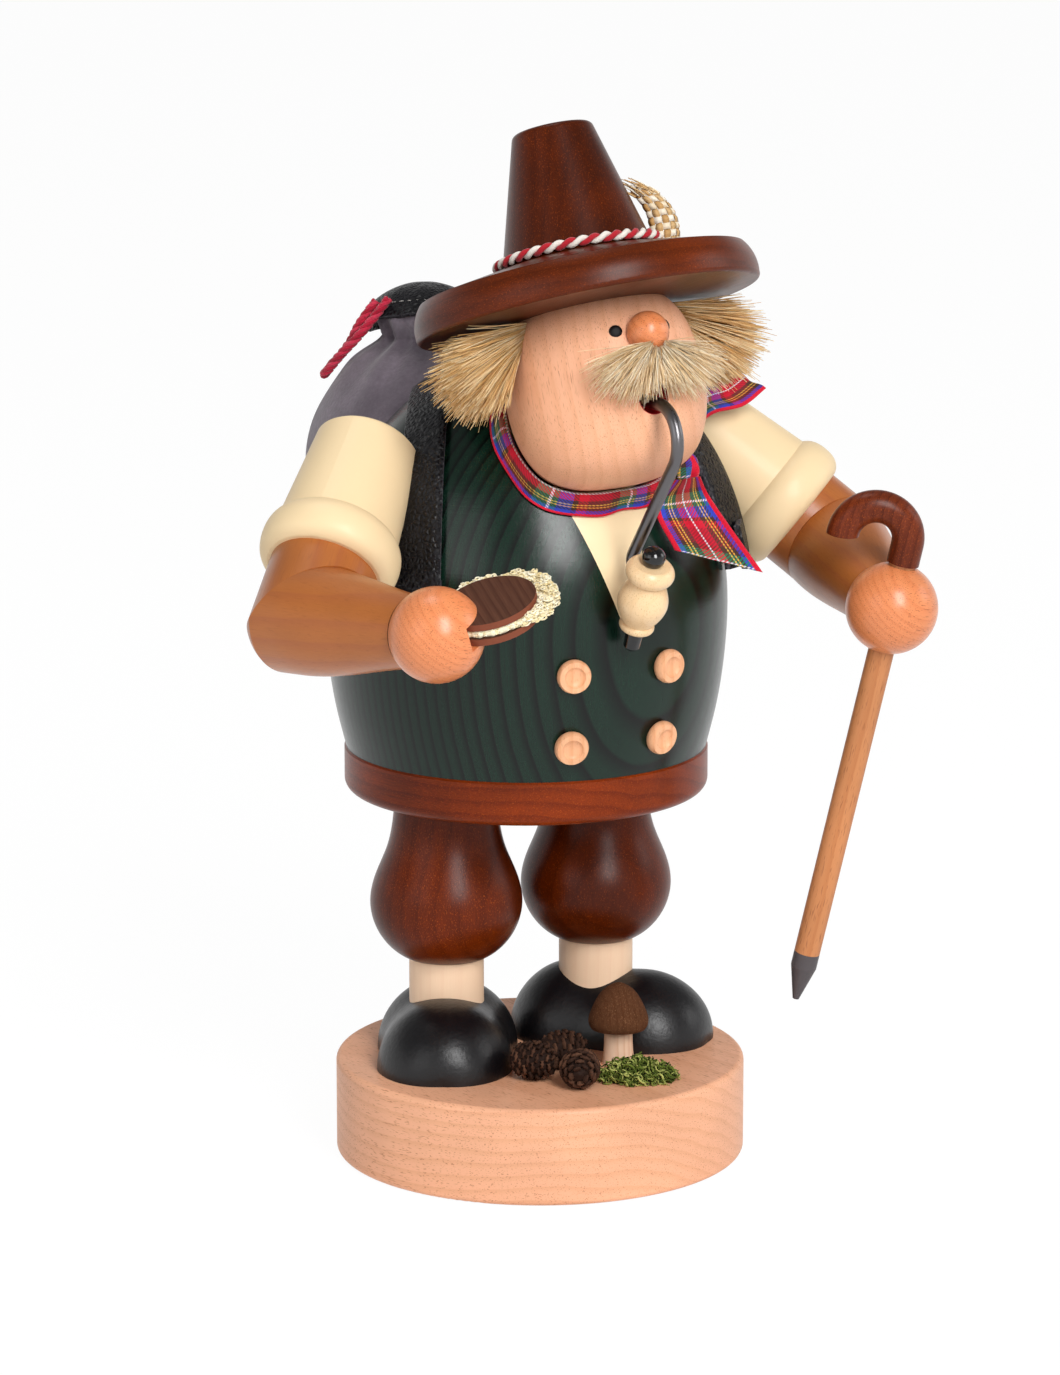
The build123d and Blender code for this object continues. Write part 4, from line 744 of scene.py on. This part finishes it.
def tartan(name):
    # Twill ribbon: diagonal floats show the coloured warp or weft in turn.
    # The real floats are 0.3 mm; they are drawn at 0.8 mm, the finest that shows.
    mat, tree, shader, coord = startMaterial(
        name, Roughness=0.62, Specular_IOR_Level=0.2, Sheen_Weight=0.15, Sheen_Roughness=0.4)
    parts = laid(tree)
    middle = ribbon["width"] / 2
    fold = addNode(tree, "Math", {0: parts[1], 1: middle}, operation="PINGPONG")
    loop = addNode(tree, "Math", {0: parts[0], 1: ribbon["repeat"]}, operation="MODULO")
    threads = []
    for place, span, stops in ((loop, ribbon["repeat"], weftSett), (fold, middle, warpSett)):
        share = addNode(tree, "Math", {0: place, 1: span}, operation="DIVIDE")
        ramp = addNode(tree, "ValToRGB", {"Fac": share}, None, [(at / span, code) for at, code in stops])
        ramp.color_ramp.interpolation = "CONSTANT"
        threads.append(ramp.outputs[0])
    slant = addNode(tree, "Math", {0: parts[0], 1: parts[1]}, operation="ADD")
    slant = addNode(tree, "Math", {0: slant, 1: 2 * math.pi / ribbon["thread"]}, operation="MULTIPLY")
    slant = addNode(tree, "Math", {0: slant}, operation="SINE")
    share = addNode(tree, "MapRange", {
        "Value": slant, "From Min": -0.6, "From Max": 0.6, "To Min": 0.2, "To Max": 0.9})
    # the woven edge shows warp alone
    edge = addNode(tree, "Math", {0: fold, 1: warpSett[1][0]}, operation="LESS_THAN")
    share = addNode(tree, "Math", {0: share, 1: edge}, operation="MAXIMUM")
    colour = addNode(tree, "Mix", {0: share, 6: threads[0], 7: threads[1]}, 2, data_type="RGBA")
    finishSurface(tree, shader, colour, None, slant, (0.25, 0.2))
    return mat


tartanRibbon = tartan("tartan_twill_ribbon")


def neckSeam(turn):
    # where the egg of the head meets the dome, all round the neck: halve the span between inside and outside
    first = unitRows(np.cross(figure["neckWay"], way(1, 0, 0)))
    second = np.cross(figure["neckWay"], first)
    spoke = np.cos(turn)[:, None] * first + np.sin(turn)[:, None] * second
    low, high = np.zeros(len(turn)), np.full(len(turn), math.radians(60))
    for _ in range(40):
        lean = (low + high) / 2
        points = domePoint(np.cos(lean)[:, None] * figure["neckWay"] + np.sin(lean)[:, None] * spoke)
        within = headDepth(points) < 0
        low = np.where(within, lean, low)
        high = np.where(within, high, lean)
    return points


def overSeam(seam, dome, head, out, up):
    # a point that stands out from the head by out and over the dome by up
    lean = np.sum(dome * head, -1)
    alongHead = (out - up * lean) / (1 - lean**2)
    alongDome = (up - out * lean) / (1 - lean**2)
    return seam + alongHead[..., None] * head + alongDome[..., None] * dome


knot = {"place": way(24.457, -28.933, 180.0), "radius": 4.5, "around": 96, "rows": 48, "squash": (1.05, 0.9, 0.95)}
bandFold = {  # the band's section: out from the head, up from the dome, and millimetres across the ribbon
    "section": np.array([
        (0.35, 4.6, 8.2), (0.9, 5.0, 7.6), (1.8, 4.5, 6.6), (2.7, 3.7, 5.4), (3.6, 2.7, 4.0), (4.4, 1.7, 2.7),
        (5.1, 0.95, 1.7), (5.7, 0.6, 0.8), (6.0, 0.42, 0.3), (6.0, 0.25, 0.0), (4.6, 0.2, -0.5), (2.6, 0.2, -0.5),
        (0.5, 0.3, -0.5)]),
    "steps": 420, "crease": 0.16, "least": 0.18,
}
fine = np.linspace(0, 2 * np.pi, 721)[:-1]
knotAt = fine[np.argmin(np.linalg.norm(neckSeam(fine) - knot["place"], axis=1))]
turn = knotAt + np.linspace(0.02, 2 * np.pi - 0.02, bandFold["steps"])
seam = neckSeam(turn)
along = runLength(seam)
wideOut, wideUp, acrossIt = bandFold["section"].T
ease = 1 + 0.05 * np.sin(3 * turn + 0.6) + 0.04 * np.sin(7 * turn)
crease = bandFold["crease"] * np.sin(along * 0.55)[:, None] * np.sin(acrossIt * 1.3)[None, :]
up = np.maximum(wideUp + np.where(acrossIt > 0.5, crease, 0), bandFold["least"])
band = overSeam(seam[:, None], domeNormal(seam)[:, None], headNormal(seam)[:, None], wideOut * ease[:, None], up)
addPiece("neckerchief_band_ribbon", [gridShell(band, stacked(along[:, None], np.abs(acrossIt), 0.0), False, True)],
         tartanRibbon, upper, "neckerchief_band")

# Knot: a ball of ribbon pulled into pleats
spin = np.linspace(0, 2 * np.pi, knot["around"], endpoint=False)[:, None]
tilt = np.linspace(0.02, np.pi - 0.02, knot["rows"])[None, :]
pleat = 0.09 * np.sin(5 * spin + 3 * np.cos(tilt)) * np.sin(tilt) + 0.05 * np.sin(11 * spin) * np.sin(tilt)**2
size = knot["radius"] * (1 + pleat)
ball = stacked(size * np.sin(tilt) * np.cos(spin), size * np.sin(tilt) * np.sin(spin), size * np.cos(tilt))
ball = knot["place"] + ball * np.array(knot["squash"])
addPiece("neckerchief_knot_ribbon", [gridShell(ball, stacked(tilt * 5.2, spin * 3.0, 0.0), True, False)],
         tartanRibbon, upper, "neckerchief_knot")


def ribbonTail(node, left, right, folds, outward):
    # a surface between two edge lines, with soft folds that die away towards the cut end
    steps, across = 60, 33
    leftLine, rightLine = smoothLine(left, steps), smoothLine(right, steps)
    v = np.linspace(0, 1, across)[None, :, None]
    depth = np.interp(np.linspace(0, 1, steps), [0, 0.5, 1], folds)[:, None, None]
    points = leftLine[:, None] * (1 - v) + rightLine[:, None] * v + depth * np.sin(v * 4 * np.pi + 0.5) * outward
    run = runLength((leftLine + rightLine) / 2)
    lay = stacked(run[:, None], ribbon["width"] * v[..., 0], 0.0)
    piece = addPiece(node + "_ribbon", [gridShell(points, lay)], tartanRibbon, upper, node)
    wall = piece.modifiers.new("cloth", "SOLIDIFY")
    wall.thickness = ribbon["wall"] * mm
    wall.offset = 0


tailTop = knot["place"] + way(-0.6, -4.2, -2.4)
ribbonTail("neckerchief_front_tail",
           [tailTop + way(-3.3, 0.6, 0.2), way(11.6, -38.9, 172.4), way(15.7, -41.3, 162.1)],
           [tailTop + way(3.3, -0.4, 0.8), way(26.2, -42.2, 173.2), way(37.4, -47.4, 155.6)],
           [0.7, 0.7, 0.35], unitRows(way(-0.35, -0.9, 0.25)))
tailRoot = knot["place"] + way(2.4, 2.3, 1.5)
tailStart, tailMiddle, tailTip = way(40.0, -13.7, 188.9), way(52.6, -10.7, 190.8), way(60.0, -9.6, 194.7)
ribbonTail("neckerchief_back_tail",
           [tailRoot + way(0.1, -1.1, -1.4), tailStart, tailMiddle, tailTip],
           [tailRoot + way(-0.2, 1.3, 1.7), tailStart + way(-0.8, 5.3, 7.0), tailMiddle + way(-5.8, 5.4, 8.2),
            tailTip + way(-8.4, 6.5, 5.8)],
           [0.7, 0.6, 0.45], unitRows(way(0.1, -0.79, 0.6)))
print("neckerchief done")


# On the base: alder cones and moss

cones = {
    "places": [(-13.4, -21.6, 35.0), (-6.4, -33.4, -30.0), (-2.2, -16.2, 80.0)],
    "radius": 5.0, "scales": 62, "around": 28, "goldenAngle": 2.39996,
    "profile": [(-6.0, 0.02), (-5.2, 2.9), (-2.6, 4.0), (-0.6, 4.25), (2.2, 3.7), (4.6, 2.3), (6.0, 0.02)],
    # one scale's wedge, from its foot round a thick ridged lip: reach, breadth and thickness
    "wedge": [(0.0, 0.5, 0.25), (0.55, 0.9, 0.3), (0.95, 1.0, 0.34), (1.05, 0.95, 0.0), (0.95, 1.0, -0.34),
              (0.5, 0.8, -0.2), (0.0, 0.5, -0.2)],
}


def alderCone(x, y, turn):
    # an egg with woody scales set in a golden-angle spiral, each a wedge that opens towards the tip
    aim = way(math.sin(math.radians(turn)), -math.cos(math.radians(turn)), 0)
    up = way(0, 0, 1)
    across = np.cross(up, aim)
    middle = way(x, y, figure["baseTop"] + cones["radius"])
    profile = smoothLine(cones["profile"], 40)
    around = np.linspace(0, 2 * np.pi, cones["around"], endpoint=False)
    rough = 1 + 0.05 * np.sin(around * 7)[None, :] * np.cos(profile[:, :1] * 2)
    spoke = np.cos(around)[None, :, None] * across + np.sin(around)[None, :, None] * up
    core = profile[:, 1:, None] * rough[..., None] * spoke + profile[:, :1, None] * aim + middle
    shells = [gridShell(core, (0, 0, 0.1), False, True)]
    count = cones["scales"]
    height = np.linspace(-5.0, 5.2, count)
    spin = np.arange(count) * cones["goldenAngle"]
    outward = np.cos(spin)[:, None] * across + np.sin(spin)[:, None] * up
    sideways = np.cross(aim, outward)
    sunk = np.interp(height, profile[:, 0], profile[:, 1]) - 0.5
    foot = middle + aim * height[:, None] + outward * sunk[:, None]
    opened = np.interp(height, [-5, 3, 5.5], [0.75, 1.0, 1.35])
    lift = unitRows(outward + aim * (0.2 + 0.55 * opened)[:, None])
    face = np.cross(lift, sideways)
    wide = np.interp(height, [-5, 0, 5.5], [1.1, 1.55, 0.9]) * rng.uniform(0.85, 1.15, count)
    long = np.interp(height, [-5, 0, 5.5], [1.2, 1.65, 1.5]) * rng.uniform(0.85, 1.15, count)
    reach, breadth, thick = (column[:, None] for column in np.array(cones["wedge"]).T)
    u = np.linspace(-1, 1, 5)
    ridge = thick + 0.16 * np.cos(u * 2 * np.pi) * (reach > 0.4) * np.sign(thick + 0.01)
    bulge = reach * (1 - 0.22 * u**2)
    scales = foot[:, None, None] + face[:, None, None] * ridge[None, :, :, None]
    scales = scales + lift[:, None, None] * (bulge * long[:, None, None])[..., None]
    scales = scales + sideways[:, None, None] * (u * breadth * wide[:, None, None])[..., None]
    scales[..., 2] = np.maximum(scales[..., 2], figure["baseTop"] + 0.05)
    tone = rng.uniform(0.2, 1.0, count)
    return shells + [gridShell(scales[k], (0, 0, tone[k]), True, False) for k in range(count)]


# Alder cone: dry woody scales, dark brown and dull
coneWood = tonedMaterial("alder_cone_scales", [(0.0, "#1E100A"), (0.5, "#3F271B"), (1.0, "#5E3F2E")],
                         (1200.0, 4.0, 0.55, 1.35), (0.7, 0.4), Roughness=0.8, Specular_IOR_Level=0.2)
coneShells = [shell for place in cones["places"] for shell in alderCone(*place)]
addPiece("alder_cones_scaled", coneShells, coneWood, lower, "alder_cones")

moss = {"place": (9.4, -34.2), "length": 22.0, "width": 12.6, "height": 6.4, "turn": -28.0, "count": 560,
        "thick": 0.26}


def mossTuft():
    # curled threads: a small helix each, lying at any slant within a low heap
    count = moss["count"]
    spin = rng.uniform(0, 2 * np.pi, count)
    reach = np.sqrt(rng.uniform(0, 1, count))
    along = reach * np.cos(spin) * moss["length"] / 2 * 0.92
    across = reach * np.sin(spin) * moss["width"] / 2 * 0.92
    turn = math.radians(moss["turn"])
    heap = (1 - 0.72 * reach**2) * moss["height"] * 0.86
    foot = stacked(moss["place"][0] + along * math.cos(turn) - across * math.sin(turn),
                   moss["place"][1] + along * math.sin(turn) + across * math.cos(turn),
                   figure["baseTop"] + 0.5 + rng.uniform(0, 1, count) * heap)
    aim = unitRows(rng.normal(0, 1, (count, 3)) * np.array([1, 1, 0.55]))
    first = unitRows(np.cross(aim, rng.normal(0, 1, (count, 3))))
    second = np.cross(aim, first)
    run = np.linspace(-0.5, 0.5, 13)[None, :]
    phase = run * rng.uniform(5, 11, (count, 1)) + spin[:, None]
    curl = rng.uniform(0.35, 1.0, (count, 1, 1))
    paths = foot[:, None] + aim[:, None] * (run * rng.uniform(1.5, 4.2, (count, 1)))[..., None] + curl * (
        np.cos(phase)[..., None] * first[:, None] + np.sin(phase)[..., None] * second[:, None])
    paths[..., 2] = np.maximum(paths[..., 2], figure["baseTop"] + 0.25)
    radii = moss["thick"] * (1 - 0.8 * (2 * np.abs(run))**2 * 0.7) * rng.uniform(0.7, 1.3, (count, 1))
    return tubeShell(paths, radii, rng.uniform(0, 1, count), 4)


# Dried moss, dyed: dull threads from dark to yellow green
mossGreen = tonedMaterial("dyed_moss", [(0.0, "#2C3A0E"), (0.5, "#63722A"), (1.0, "#B4B868")],
                          Roughness=0.8, Specular_IOR_Level=0.2)
addPiece("moss_tuft_threads", [mossTuft()], mossGreen, lower, "moss_tuft")
print("cones and moss done")

# Sandwich filling: looped cotton between the slices
filling = {"centre": way(-49.371, -68.447, 157.93), "long": 11.0, "wide": 10.0, "thick": 2.35, "cut": -8.2,
           "curls": 3600, "curlRadius": 0.19, "openEnd": 5.6, "farSide": 3.4, "around": 160}
breadOut = unitRows(way(0.924, -0.254, 0.285))
breadUp = unitRows(way(*slices["up"]))
breadAside = np.cross(breadUp, breadOut)


def fillingPoint(a, b, c):
    # along the slices, across them to the far side, and up; cut straight at the hand
    a = np.maximum(a, filling["cut"])
    return filling["centre"] + a[..., None] * breadOut + b[..., None] * breadAside + c[..., None] * breadUp


def cottonCurls(count):
    # small curls of yarn that swell out of the gap: far at the open end, less on the far side, hardly on the near
    spin = rng.uniform(-np.pi, np.pi, count)
    swell = filling["openEnd"] * np.maximum(np.cos(spin), 0)**2.2
    swell = swell + filling["farSide"] * np.maximum(np.sin(spin), 0)**1.5
    keep = (np.cos(spin) > -0.75) & (rng.uniform(0, 1, count) < 0.25 + swell / 4)
    spin, swell = spin[keep], swell[keep]
    count = len(spin)
    depth = rng.uniform(0, 1, count)**0.8
    reach = depth * swell - 0.5
    puff = 0.75 + 1.5 * depth * np.minimum(swell / 4, 1) * (depth > 0.15)
    rise = rng.uniform(-1, 1, count) * puff
    run = np.linspace(0, 1, 9)[None, :]
    phase = run * rng.uniform(4, 8, (count, 1)) + rng.uniform(0, 6.3, (count, 1))
    curl = rng.uniform(0.3, 0.9, (count, 1)) * np.minimum(0.35 + depth * swell, 1)[:, None]
    a = ((filling["long"] + reach) * np.cos(spin))[:, None] + curl * np.cos(phase)
    b = ((filling["wide"] + reach) * np.sin(spin))[:, None] + curl * np.sin(phase)
    c = rise[:, None] + (run - 0.5) * rng.normal(0, 0.5, (count, 1)) * curl
    return tubeShell(fillingPoint(a, b, c), np.full(a.shape, filling["curlRadius"]), rng.uniform(0, 1, count), 4)


# the pad behind the curls: a flat disc with a rounded, slightly wavy rim
spin = np.linspace(0, 2 * np.pi, filling["around"], endpoint=False)[:, None]
across, level = np.array([
    (0.02, 1.0), (0.8, 1.0), (0.97, 0.8), (1.0, 0.0), (0.97, -0.8), (0.8, -1.0), (0.02, -1.0)]).T
across = across * (1 + 0.02 * np.sin(spin * 23) + 0.015 * np.sin(spin * 41))
pad = fillingPoint(filling["long"] * across * np.cos(spin), filling["wide"] * across * np.sin(spin),
                   filling["thick"] / 2 * level * np.ones_like(spin) * 0.985)
creamCotton = yarn("looped_cotton_filling", [(0.0, "#F0DCA4"), (0.5, "#F8EBC4"), (1.0, "#FFFAE6")], 0.15)
addPiece("bread_filling_loops", [cottonCurls(filling["curls"]), gridShell(pad, (0, 0, 0.6), True, False)],
         creamCotton, upper, "bread_filling")
print("filling done")


# Rucksack: felt bag, leather flap and straps

bag = {
    "place": way(0, 64, 135), "gap": 0.35, "folds": 13, "around": 240, "neckAt": 68.0, "underHead": 205.0,
    "profile": [(0.02, 0.0), (15.75, 0.0), (22.7, 3.2), (29.0, 12.0), (31.5, 28.8), (29.0, 46.4), (20.8, 60.0),
                (11.6, 67.0), (11.2, 69.6), (12.8, 73.6), (11.0, 76.6), (6.05, 79.2), (0.02, 80.0)],
}


def torsoRadius(z):
    # flank arc below the belly, quarter ellipse above it
    rise = np.clip((z - figure["bellyZ"]) / figure["domeHeight"], 0, 1)
    drop = np.minimum(z - figure["bellyZ"], 0)
    belowBelly = figure["bellyRadius"] - figure["flankRadius"] + np.sqrt(figure["flankRadius"]**2 - drop**2)
    return np.where(z > figure["bellyZ"], figure["bellyRadius"] * np.sqrt(1 - rise**2), belowBelly)


def clearOfTorso(points, gap):
    # push points that lie inside the torso straight out of it
    away = points[..., :2] - figure["axis"][:2]
    size = np.linalg.norm(away, axis=-1)
    least = torsoRadius(points[..., 2]) + gap
    scale = np.where((size < least) & (points[..., 2] < bag["underHead"]), least / np.maximum(size, 1e-6), 1.0)
    pushed = points.copy()
    pushed[..., :2] = figure["axis"][:2] + away * scale[..., None]
    return pushed


# the bag is a turned profile with pleats gathered at the neck, soft dimples and a ruffled top
spin = np.linspace(0, 2 * np.pi, bag["around"], endpoint=False)[None, :]
size, rise = (column[:, None] for column in smoothLine(bag["profile"], 130).T)
gather = np.exp(-((rise - bag["neckAt"]) / 9.0)**2)
folds = np.sin(bag["folds"] * spin + 0.7 * np.sin(3 * spin)) * 0.6 + np.sin(7 * spin + 1.0) * 0.4
dimples = 0.35 * np.sin(3 * spin + rise * 0.09) * np.sin(rise * 0.11) + 0.25 * np.sin(5 * spin - rise * 0.13)
swell = size * (1 + 0.11 * gather * folds) + dimples * np.clip(size / 20, 0, 1)
ruffle = np.clip((rise - 71) / 6, 0, 1) * 0.9 * np.sin(11 * spin + 0.5) * np.clip(size / 10, 0, 1)
bagPoints = bag["place"] + stacked(swell * np.cos(spin), swell * np.sin(spin), rise + ruffle)
bagPoints = clearOfTorso(bagPoints, bag["gap"])

# Grey wool felt: cloudy, fuzzy, no gloss
felt, tree, shader, coord = startMaterial(
    "grey_wool_felt", Roughness=0.95, Specular_IOR_Level=0.1, Sheen_Weight=0.35, Sheen_Roughness=0.6)
cloud = addNode(tree, "TexNoise", {"Vector": coord, "Scale": 90.0, "Detail": 5.0, "Roughness": 0.6})
colour = addNode(tree, "ValToRGB", {"Fac": cloud}, stops=[(0.3, "#5C535C"), (0.55, "#756A74"), (0.75, "#8D828C")])
colour, fuzz = gritty(tree, coord, colour, 1100.0, 4.0, 0.8, 1.2)
finishSurface(tree, shader, colour, None, fuzz, (0.5, 0.4))
bagShell = gridShell(bagPoints, (0, 0, 0), False, True)
bagPiece = addPiece("rucksack_bag_felt", [bagShell], felt, upper, "rucksack_bag")

# Black grained leather: pebbles about 1.4 mm across, a grey cut edge
leather, tree, shader, coord = startMaterial("black_grained_leather", Roughness=0.38, IOR=1.34)
pebble = addNode(tree, "TexVoronoi", {"Vector": coord, "Scale": 700.0}, feature="DISTANCE_TO_EDGE")
shade = addNode(tree, "TexNoise", {"Vector": coord, "Scale": 160.0, "Detail": 4.0})
hide = addNode(tree, "ValToRGB", {"Fac": shade}, stops=[(0.3, "#08070A"), (0.7, "#121116")])
colour = addNode(tree, "Mix", {0: laid(tree)[2], 6: hide, 7: linear("#4A474D")}, 2, data_type="RGBA")
finishSurface(tree, shader, colour, None, pebble, (1.0, 0.8))

straps = {
    "offset": 23.4, "width": 11.0, "turn": 121.5, "thick": 1.6, "skin": 0.2, "end": 112.0,
    "stand": {-1: 0.0, 1: 4.6}, "low": {-1: 145.5, 1: 152.5}, "back": {-1: 33.0, 1: 32.0},
    # the section: across from -1 to 1, thick from 0 to 1
    "section": np.array([(-1, 0.1), (-1, 0.85), (-0.97, 1), (-0.6, 1), (0, 1), (0.6, 1), (0.97, 1), (1, 0.85),
                         (1, 0.1), (0.97, 0), (0, 0), (-0.97, 0)]),
    "loopSteps": 90, "beltSteps": 60,
}


def strap(side):
    # over the shoulder: the section of the dome by an upright plane; under the arm: a level ring
    turn = math.radians(side * straps["turn"])
    away = way(math.sin(turn), -math.cos(turn), 0)
    ahead = np.cross(away, way(0, 0, 1)) * side
    aside, thick = straps["section"].T
    offset = straps["offset"] + aside * straps["width"] / 2
    # the outer edge stands off the body, the inner edge lies on it
    grown = straps["skin"] + straps["stand"][side] * (aside + 1) / 2 + straps["thick"] * thick
    radius, height = figure["bellyRadius"] + grown, figure["domeHeight"] + grown
    reachOut = np.sqrt(radius**2 - offset**2)
    reachUp = height * reachOut / radius
    begin = math.asin((straps["low"][side] - figure["bellyZ"]) / figure["domeHeight"])
    lean = np.linspace(begin, math.radians(straps["end"]), straps["loopSteps"])[:, None]
    loop = (figure["bellyMiddle"] + away * offset[:, None] + ahead * (reachOut * np.cos(lean))[..., None]
            + way(0, 0, 1) * (reachUp * np.sin(lean))[..., None])
    level = straps["low"][side] + straps["width"] / 2 + aside * straps["width"] / 2
    ring = torsoRadius(level) + straps["skin"] + straps["stand"][side] + straps["thick"] * thick - 0.05
    front = loop[0, 4] - figure["axis"]
    begin = math.atan2(front[0], -front[1]) - side * 0.1
    spin = np.linspace(begin, side * math.radians(180 - straps["back"][side]), straps["beltSteps"])[:, None]
    belt = stacked(ring * np.sin(spin), figure["axis"][1] - ring * np.cos(spin), level)
    cut = (np.abs(aside) > 0.985) * 1.0
    return [gridShell(points, stacked(np.linspace(0, 1, len(points))[:, None], aside, cut), False, True)
            for points in (loop, belt)]


for side, name in bothSides:
    addPiece("strap_leather_" + name, strap(side), leather, upper, "strap_" + name)

flap = {"top": way(0, 64, 215), "radius": 17.5, "height": 14.0, "low": -12.05, "edge": 2.5, "tilt": 20.0,
        "turn": -28.0, "thick": 1.5, "around": 160, "rows": 40, "edgeTone": 0.35}


def flapShape(spin, lean, shrink):
    # a quarter ellipse turned about the bag's neck
    across = (flap["radius"] - shrink) * np.cos(lean)
    rise = flap["low"] + (flap["height"] - shrink) * np.sin(lean)
    return flap["top"] + stacked(across * np.cos(spin), across * np.sin(spin), rise)


# its edge is where a tilted plane cuts that shape
spin = np.linspace(0, 2 * np.pi, flap["around"], endpoint=False)
tilt, turn = math.radians(flap["tilt"]), math.radians(flap["turn"])
cutWay = way(math.sin(tilt) * math.sin(turn), -math.sin(tilt) * math.cos(turn), -math.cos(tilt))
cutPlace = flap["top"] + way(0, 0, flap["low"] + flap["edge"])
leans = np.linspace(0, np.pi / 2 - 0.02, 300)
trial = (flapShape(spin[:, None], leans[None, :], 0) - cutPlace) @ cutWay
firstLean = leans[np.argmax(trial < 0, axis=1)]
share = np.linspace(0, 1, flap["rows"])[None, :]
lean = firstLean[:, None] + (leans[-1] - firstLean[:, None]) * share
crumple = 0.22 * np.sin(5 * spin[:, None] + 2) * (1 - share) + 0.15 * np.sin(9 * spin[:, None]) * (1 - share)**2
outer = flapShape(spin[:, None], lean, crumple)
inner = flapShape(spin[:, None], lean, crumple + flap["thick"])
both = np.concatenate([outer[:, ::-1], inner], 1)
lay = np.zeros_like(both)
lay[:, flap["rows"] - 1:flap["rows"] + 1, 2] = flap["edgeTone"]
addPiece("rucksack_flap_leather", [gridShell(both, lay, True, False)], leather, upper, "rucksack_flap")

# White thread stitched along the flap, a row of short capsules
stitch = {"count": 34, "length": 0.6, "thick": 0.22, "rise": 0.14, "inset": 0.3}
pitch = 2 * np.pi / stitch["count"]
run = np.linspace(-0.5, 0.5, 7)[None, :]
place = np.arange(stitch["count"])[:, None] * pitch + run * pitch * stitch["length"]
rim = np.interp(place % (2 * np.pi), spin, firstLean, period=2 * np.pi)
stitches = flapShape(place, rim + stitch["inset"], 0.1 - stitch["rise"] * np.cos(run * np.pi))
radii = np.ones_like(place) * stitch["thick"] / 2 * np.sqrt(np.maximum(1 - (2 * run)**4, 0.05))
thread = yarn("white_linen_thread", [(0.0, "#B5B0AC"), (1.0, "#D2CDC8")], 0.1)
addPiece("rucksack_flap_stitches", [tubeShell(stitches, radii, rng.uniform(0, 1, stitch["count"]), 6)], thread,
         upper)
print("rucksack done")


# Floor, lamps and background

stage = {"floorZ": -0.0002, "glow": 1.03, "glowShare": 0.93, "fill": 0.26, "fade": (0.22, 0.45)}


def backgroundRays(tree):
    # 1 for the rays that show the white background: camera, glossy and transmission rays
    rays = addNode(tree, "LightPath", out=None).outputs
    seen = addNode(tree, "Math", {0: rays["Is Camera Ray"], 1: rays["Is Glossy Ray"]}, operation="MAXIMUM")
    return addNode(tree, "Math", {0: seen, 1: rays["Is Transmission Ray"]}, operation="MAXIMUM")


floorMesh = bpy.data.meshes.new("floor")
corners = [(-4, -4), (4, -4), (4, 4), (-4, 4)]
floorMesh.from_pydata([(x, y, stage["floorZ"]) for x, y in corners], [], [(0, 1, 2, 3)])
addObject("floor", floorMesh)
paper = bpy.data.materials.new("white_paper_floor")
paper.use_nodes = True
tree = paper.node_tree
tree.nodes.clear()
matte = addNode(tree, "BsdfDiffuse", {"Color": linear("#F4F4F4")})
glow = addNode(tree, "Emission", {"Color": (1, 1, 1, 1), "Strength": stage["glow"]})
seen = addNode(tree, "Math", {0: backgroundRays(tree), 1: stage["glowShare"]}, operation="MULTIPLY")
addNode(tree, "OutputMaterial", {0: addNode(tree, "MixShader", {0: seen, 1: matte, 2: glow})}, None)
floorMesh.materials.append(paper)

world = bpy.data.worlds.new("studio")
bpy.context.scene.world = world
world.use_nodes = True
tree = world.node_tree
tree.nodes.clear()
# the backdrop is white up to 13 degrees above the horizon and fades into the fill light overhead
height = addNode(tree, "SeparateXYZ", {0: addNode(tree, "TexCoord", out="Generated")}, 2)
backdrop = addNode(tree, "MapRange", {
    "Value": height, "From Min": stage["fade"][0], "From Max": stage["fade"][1], "To Min": 1.0, "To Max": 0.0})
seen = addNode(tree, "Math", {0: backgroundRays(tree), 1: backdrop}, operation="MULTIPLY")
white = addNode(tree, "Background", {"Color": (1, 1, 1, 1), "Strength": 1.0})
fill = addNode(tree, "Background", {"Color": (1, 1, 1, 1), "Strength": stage["fill"]})
addNode(tree, "OutputWorld", {0: addNode(tree, "MixShader", {0: seen, 1: fill, 2: white})}, None)

lamps = {  # place, width, height and power of each soft box, all turned to the figure's chest
    "front_box": ((-0.14, -1.34, 0.98), 0.5, 0.9, 21.5),
    "left_box": ((-1.45, -0.5, 0.8), 1.0, 1.0, 4.0),
    "right_box": ((1.35, -0.55, 0.75), 0.6, 0.6, 3.0),
    "top_box": ((-0.1, 0.35, 1.6), 0.5, 0.5, 2.8),
}
for name, (place, width, tall, power) in lamps.items():
    lampData = bpy.data.lights.new(name, "AREA")
    lampData.shape = "RECTANGLE"
    lampData.size, lampData.size_y = width, tall
    lampData.energy = power
    aimAt(addObject(name, lampData), place, (0, 0, 0.15))
bpy.context.scene.view_settings.view_transform = "Standard"
print("stage done")
